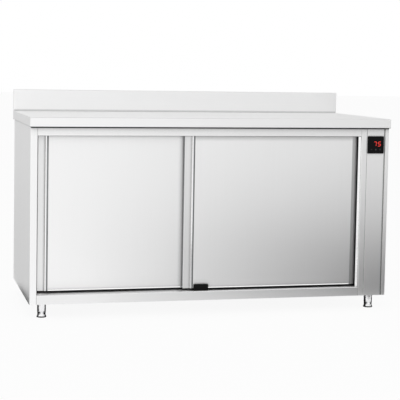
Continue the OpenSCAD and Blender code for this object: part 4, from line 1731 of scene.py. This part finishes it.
@dataclass
class Studio:
    """White surroundings, pale floor, soft lamps and the cards that the steel reflects."""

    floor_half: float = 40.0
    floor_glow: float = 0.92
    ambient: float = 0.6
    dome: float = 1.2
    zenith: str = "#bcbcbc"
    dulls: Pair = (0.3, 0.9)

    def world(self) -> None:
        """White for the camera, a sky that dulls overhead for reflections, a fill for the rest."""
        world = bpy.data.worlds.new("studio")
        bpy.context.scene.world = world
        world.use_nodes = True
        tree = world.node_tree
        tree.nodes.clear()
        way = add_node(tree, "TexCoord").outputs["Generated"]
        height = add_node(tree, "SeparateXYZ", {0: way}).outputs["Z"]
        band = {"Value": height, "From Min": self.dulls[0], "From Max": self.dulls[1]}
        dull = add_node(tree, "MapRange", band, {"interpolation_type": "SMOOTHSTEP"}).outputs[0]
        greys = {0: dull, 6: linear(WHITE), 7: linear(self.zenith)}
        sky = add_node(tree, "Mix", greys, COLOURS).outputs[2]
        plain = linear(WHITE)
        white, dome, fill_light = (
            add_node(tree, "Background", {"Color": colour, "Strength": strength}).outputs[0]
            for colour, strength in ((plain, 1.0), (sky, self.dome), (plain, self.ambient))
        )
        glossy = add_node(tree, "LightPath").outputs["Is Glossy Ray"]
        shown = add_node(tree, "MixShader", {0: glossy, 1: white, 2: dome}).outputs[0]
        both = add_node(tree, "MixShader", {0: self.seen(tree), 1: fill_light, 2: shown})
        add_node(tree, "OutputWorld", {"Surface": both.outputs[0]})

    def seen(self, tree: Tree) -> Socket:
        """Socket that is 1 for rays of the camera, of reflections and through glass.

        Args:
            tree: the node tree that needs it.

        Returns:
            The socket.
        """
        rays, most = add_node(tree, "LightPath").outputs, {"operation": "MAXIMUM"}
        first = {0: rays["Is Camera Ray"], 1: rays["Is Glossy Ray"]}
        both = {0: add_node(tree, "Math", first, most).outputs[0], 1: rays["Is Transmission Ray"]}
        return add_node(tree, "Math", both, most).outputs[0]

    def floor(self) -> None:
        """Pale floor that reads as white and keeps the cupboard's shadow."""
        half = self.floor_half
        corners = [(-half, -half, 0.0), (half, -half, 0.0), (half, half, 0.0), (-half, half, 0.0)]
        _, tree = hang("studio_floor", corners)
        share = {0: self.seen(tree), 1: self.floor_glow}
        glowing = add_node(tree, "Math", share, {"operation": "MULTIPLY"}).outputs[0]
        matt = add_node(tree, "BsdfDiffuse", {"Color": linear(WHITE)}).outputs[0]
        glow = add_node(tree, "Emission", {"Color": linear(WHITE)}).outputs[0]
        both = add_node(tree, "MixShader", {0: glowing, 1: matt, 2: glow}).outputs[0]
        add_node(tree, "OutputMaterial", {"Surface": both})

    def lamp(self, name: str, place: Triple, aim: Triple, size: float, watts: float) -> None:
        """Square soft lamp.

        Args:
            name: its name.
            place: where it hangs, in metres.
            aim: the point it faces.
            size: its side.
            watts: its power.
        """
        light = bpy.data.lights.new(name, "AREA")
        light.shape, light.size, light.energy = "SQUARE", size, watts
        lamp = bpy.data.objects.new(name, light)
        lamp.location = place
        way = Vector(aim) - Vector(place)
        lamp.rotation_euler = way.to_track_quat("-Z", "Y").to_euler()
        lamp.visible_glossy = False
        bpy.context.scene.collection.objects.link(lamp)

    def build(self) -> None:
        """Sets up surroundings, floor, lamps and cards."""
        self.world()
        self.floor()
        self.lamp("key_lamp", (-1.5, -3.0, 4.0), (0.0, 0.0, 0.5), 2.5, 30.0)
        self.lamp("fill_lamp", (3.4, -3.0, 2.2), (0.0, 0.0, 0.5), 2.4, 10.0)
        wide, tall, high, low = (6.0, 0.0, 0.0), (0.0, 0.0, 4.0), (0.0, 0.0, 2.8), (0.0, 0.0, 0.055)
        deep, beside, along = (0.0, -1.68, 0.0), (0.0, 0.63, 0.0), (0.0, 0.56, 0.0)
        beyond, wing, stub = (2.4, 0.0, 0.0), (0.64, 0.0, 0.0), (5.5, 0.4, 0.0)
        dark, dim, grey = "#0e0e10", "#505050", "#c4c4c4"
        left, right, back = (-1.4, -0.33, 0.004), (0.76, -0.33, 0.004), (0.0, -7.6, 0.0)
        cards = [
            ("front", (-0.5, -8.0, 0.01), wide, high, WHITE, "#d0d0d0"),
            ("floor", (-0.45, -0.42, 0.02), (1.25, 0.0, 0.0), deep, "#f4f4f4", "#585859"),
            ("floor_end", (0.8, -0.42, 0.02), beyond, deep, dark, dark),
            ("side", (-6.0, 7.0, 0.02), (5.1, 0.0, 0.0), back, "#dcdcdc", "#c8c8c8"),
            ("rear", (-7.0, 5.0, 0.01), (6.4, 0.6, 0.0), tall, "#d8d8d8", "#d2d2d2"),
            ("top", (-0.5, 5.6, 0.01), wide, tall, WHITE, "#c8c8c8"),
            ("under", (-0.72, -0.33, 0.004), (1.44, 0.0, 0.0), beside, dark, dark),
            ("left_foot", left, wing, beside, dim, dark),
            ("right_foot", right, wing, beside, dark, dim),
            ("end", (0.95, 7.0, 0.01), (9.0, 0.0, 0.0), (0.0, -7.4, 0.0), "#b8b8b8", "#d8d8d8"),
            ("end_wall", (11.0, -3.0, 0.01), (0.0, 9.0, 0.0), tall, "#d4d4d4", grey),
            ("front_end", (5.5, -8.0, 0.01), (5.5, 5.0, 0.0), tall, "#d0d0d0", "#d8d8d8"),
            ("rear_end", (5.5, 5.6, 0.01), stub, tall, grey, grey),
            ("rear_floor", (-3.0, 0.55, 0.006), wide, (0.0, 5.0, 0.0), "#cccccc", "#dcdcdc"),
        ]
        for name, *rest in cards:
            Card(f"{name}_card", *rest).build()
        for tag, x in (("a", -0.86), ("b", -0.62), ("c", 0.62), ("d", 0.86)):
            Card(f"foot_flag_{tag}", (x, -0.3, 0.003), along, low, dark, dark).build()


@dataclass
class Camera:
    """The photograph's camera: place in millimetres, turn in degrees, focal length in pixels."""

    place: Triple = (-1376.0, -5337.0, 1070.0)
    yaw: float = 13.12
    pitch: float = -4.07
    roll: float = 0.92
    focal_px: float = 1207.8
    shift: Pair = (0.08, -0.12)
    far_m: float = 200.0

    def build(self) -> None:
        """Sets the camera: turned to the right by yaw, up by pitch, then rolled about its view."""
        lens = bpy.data.cameras.new("photo_camera")
        lens.sensor_width = SENSOR_MM
        lens.lens = self.focal_px / FRAME_PX * SENSOR_MM
        lens.shift_x, lens.shift_y = self.shift
        lens.clip_end = self.far_m
        camera = bpy.data.objects.new("photo_camera", lens)
        angles = ((-self.yaw, "Z"), (90 + self.pitch, "X"), (self.roll, "Z"))
        yaw, pitch, roll = (Matrix.Rotation(math.radians(turn), 4, axis) for turn, axis in angles)
        camera.matrix_world = Matrix.Translation(Vector(self.place) * MM) @ yaw @ pitch @ roll
        bpy.context.scene.collection.objects.link(camera)
        bpy.context.scene.camera = camera
        bpy.context.scene.view_settings.view_transform = "Standard"


def main() -> None:
    """Builds the camera, the studio and every sub-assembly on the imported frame."""
    logging.basicConfig(level=logging.INFO, format="%(message)s")
    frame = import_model()
    Camera().build()
    Studio().build()
    shop, plan = Workshop(frame["nodes"]), Plan()
    assemblies = [
        Worktop(plan),
        FrontFrame(plan),
        ControlColumn(plan),
        SlidingDoor(plan, "left", x=-759.0, y=-285.0),
        SlidingDoor(plan, "right", x=-129.0, y=-313.0),
        DoorGear(plan),
        HeatedRoom(plan),
        AirHeater(plan),
        BackWall(plan),
        Feet(plan),
    ]
    for assembly in assemblies:
        log.info("-- %s", type(assembly).__name__)
        assembly.build(shop)


if __name__ == "__main__":
    main()
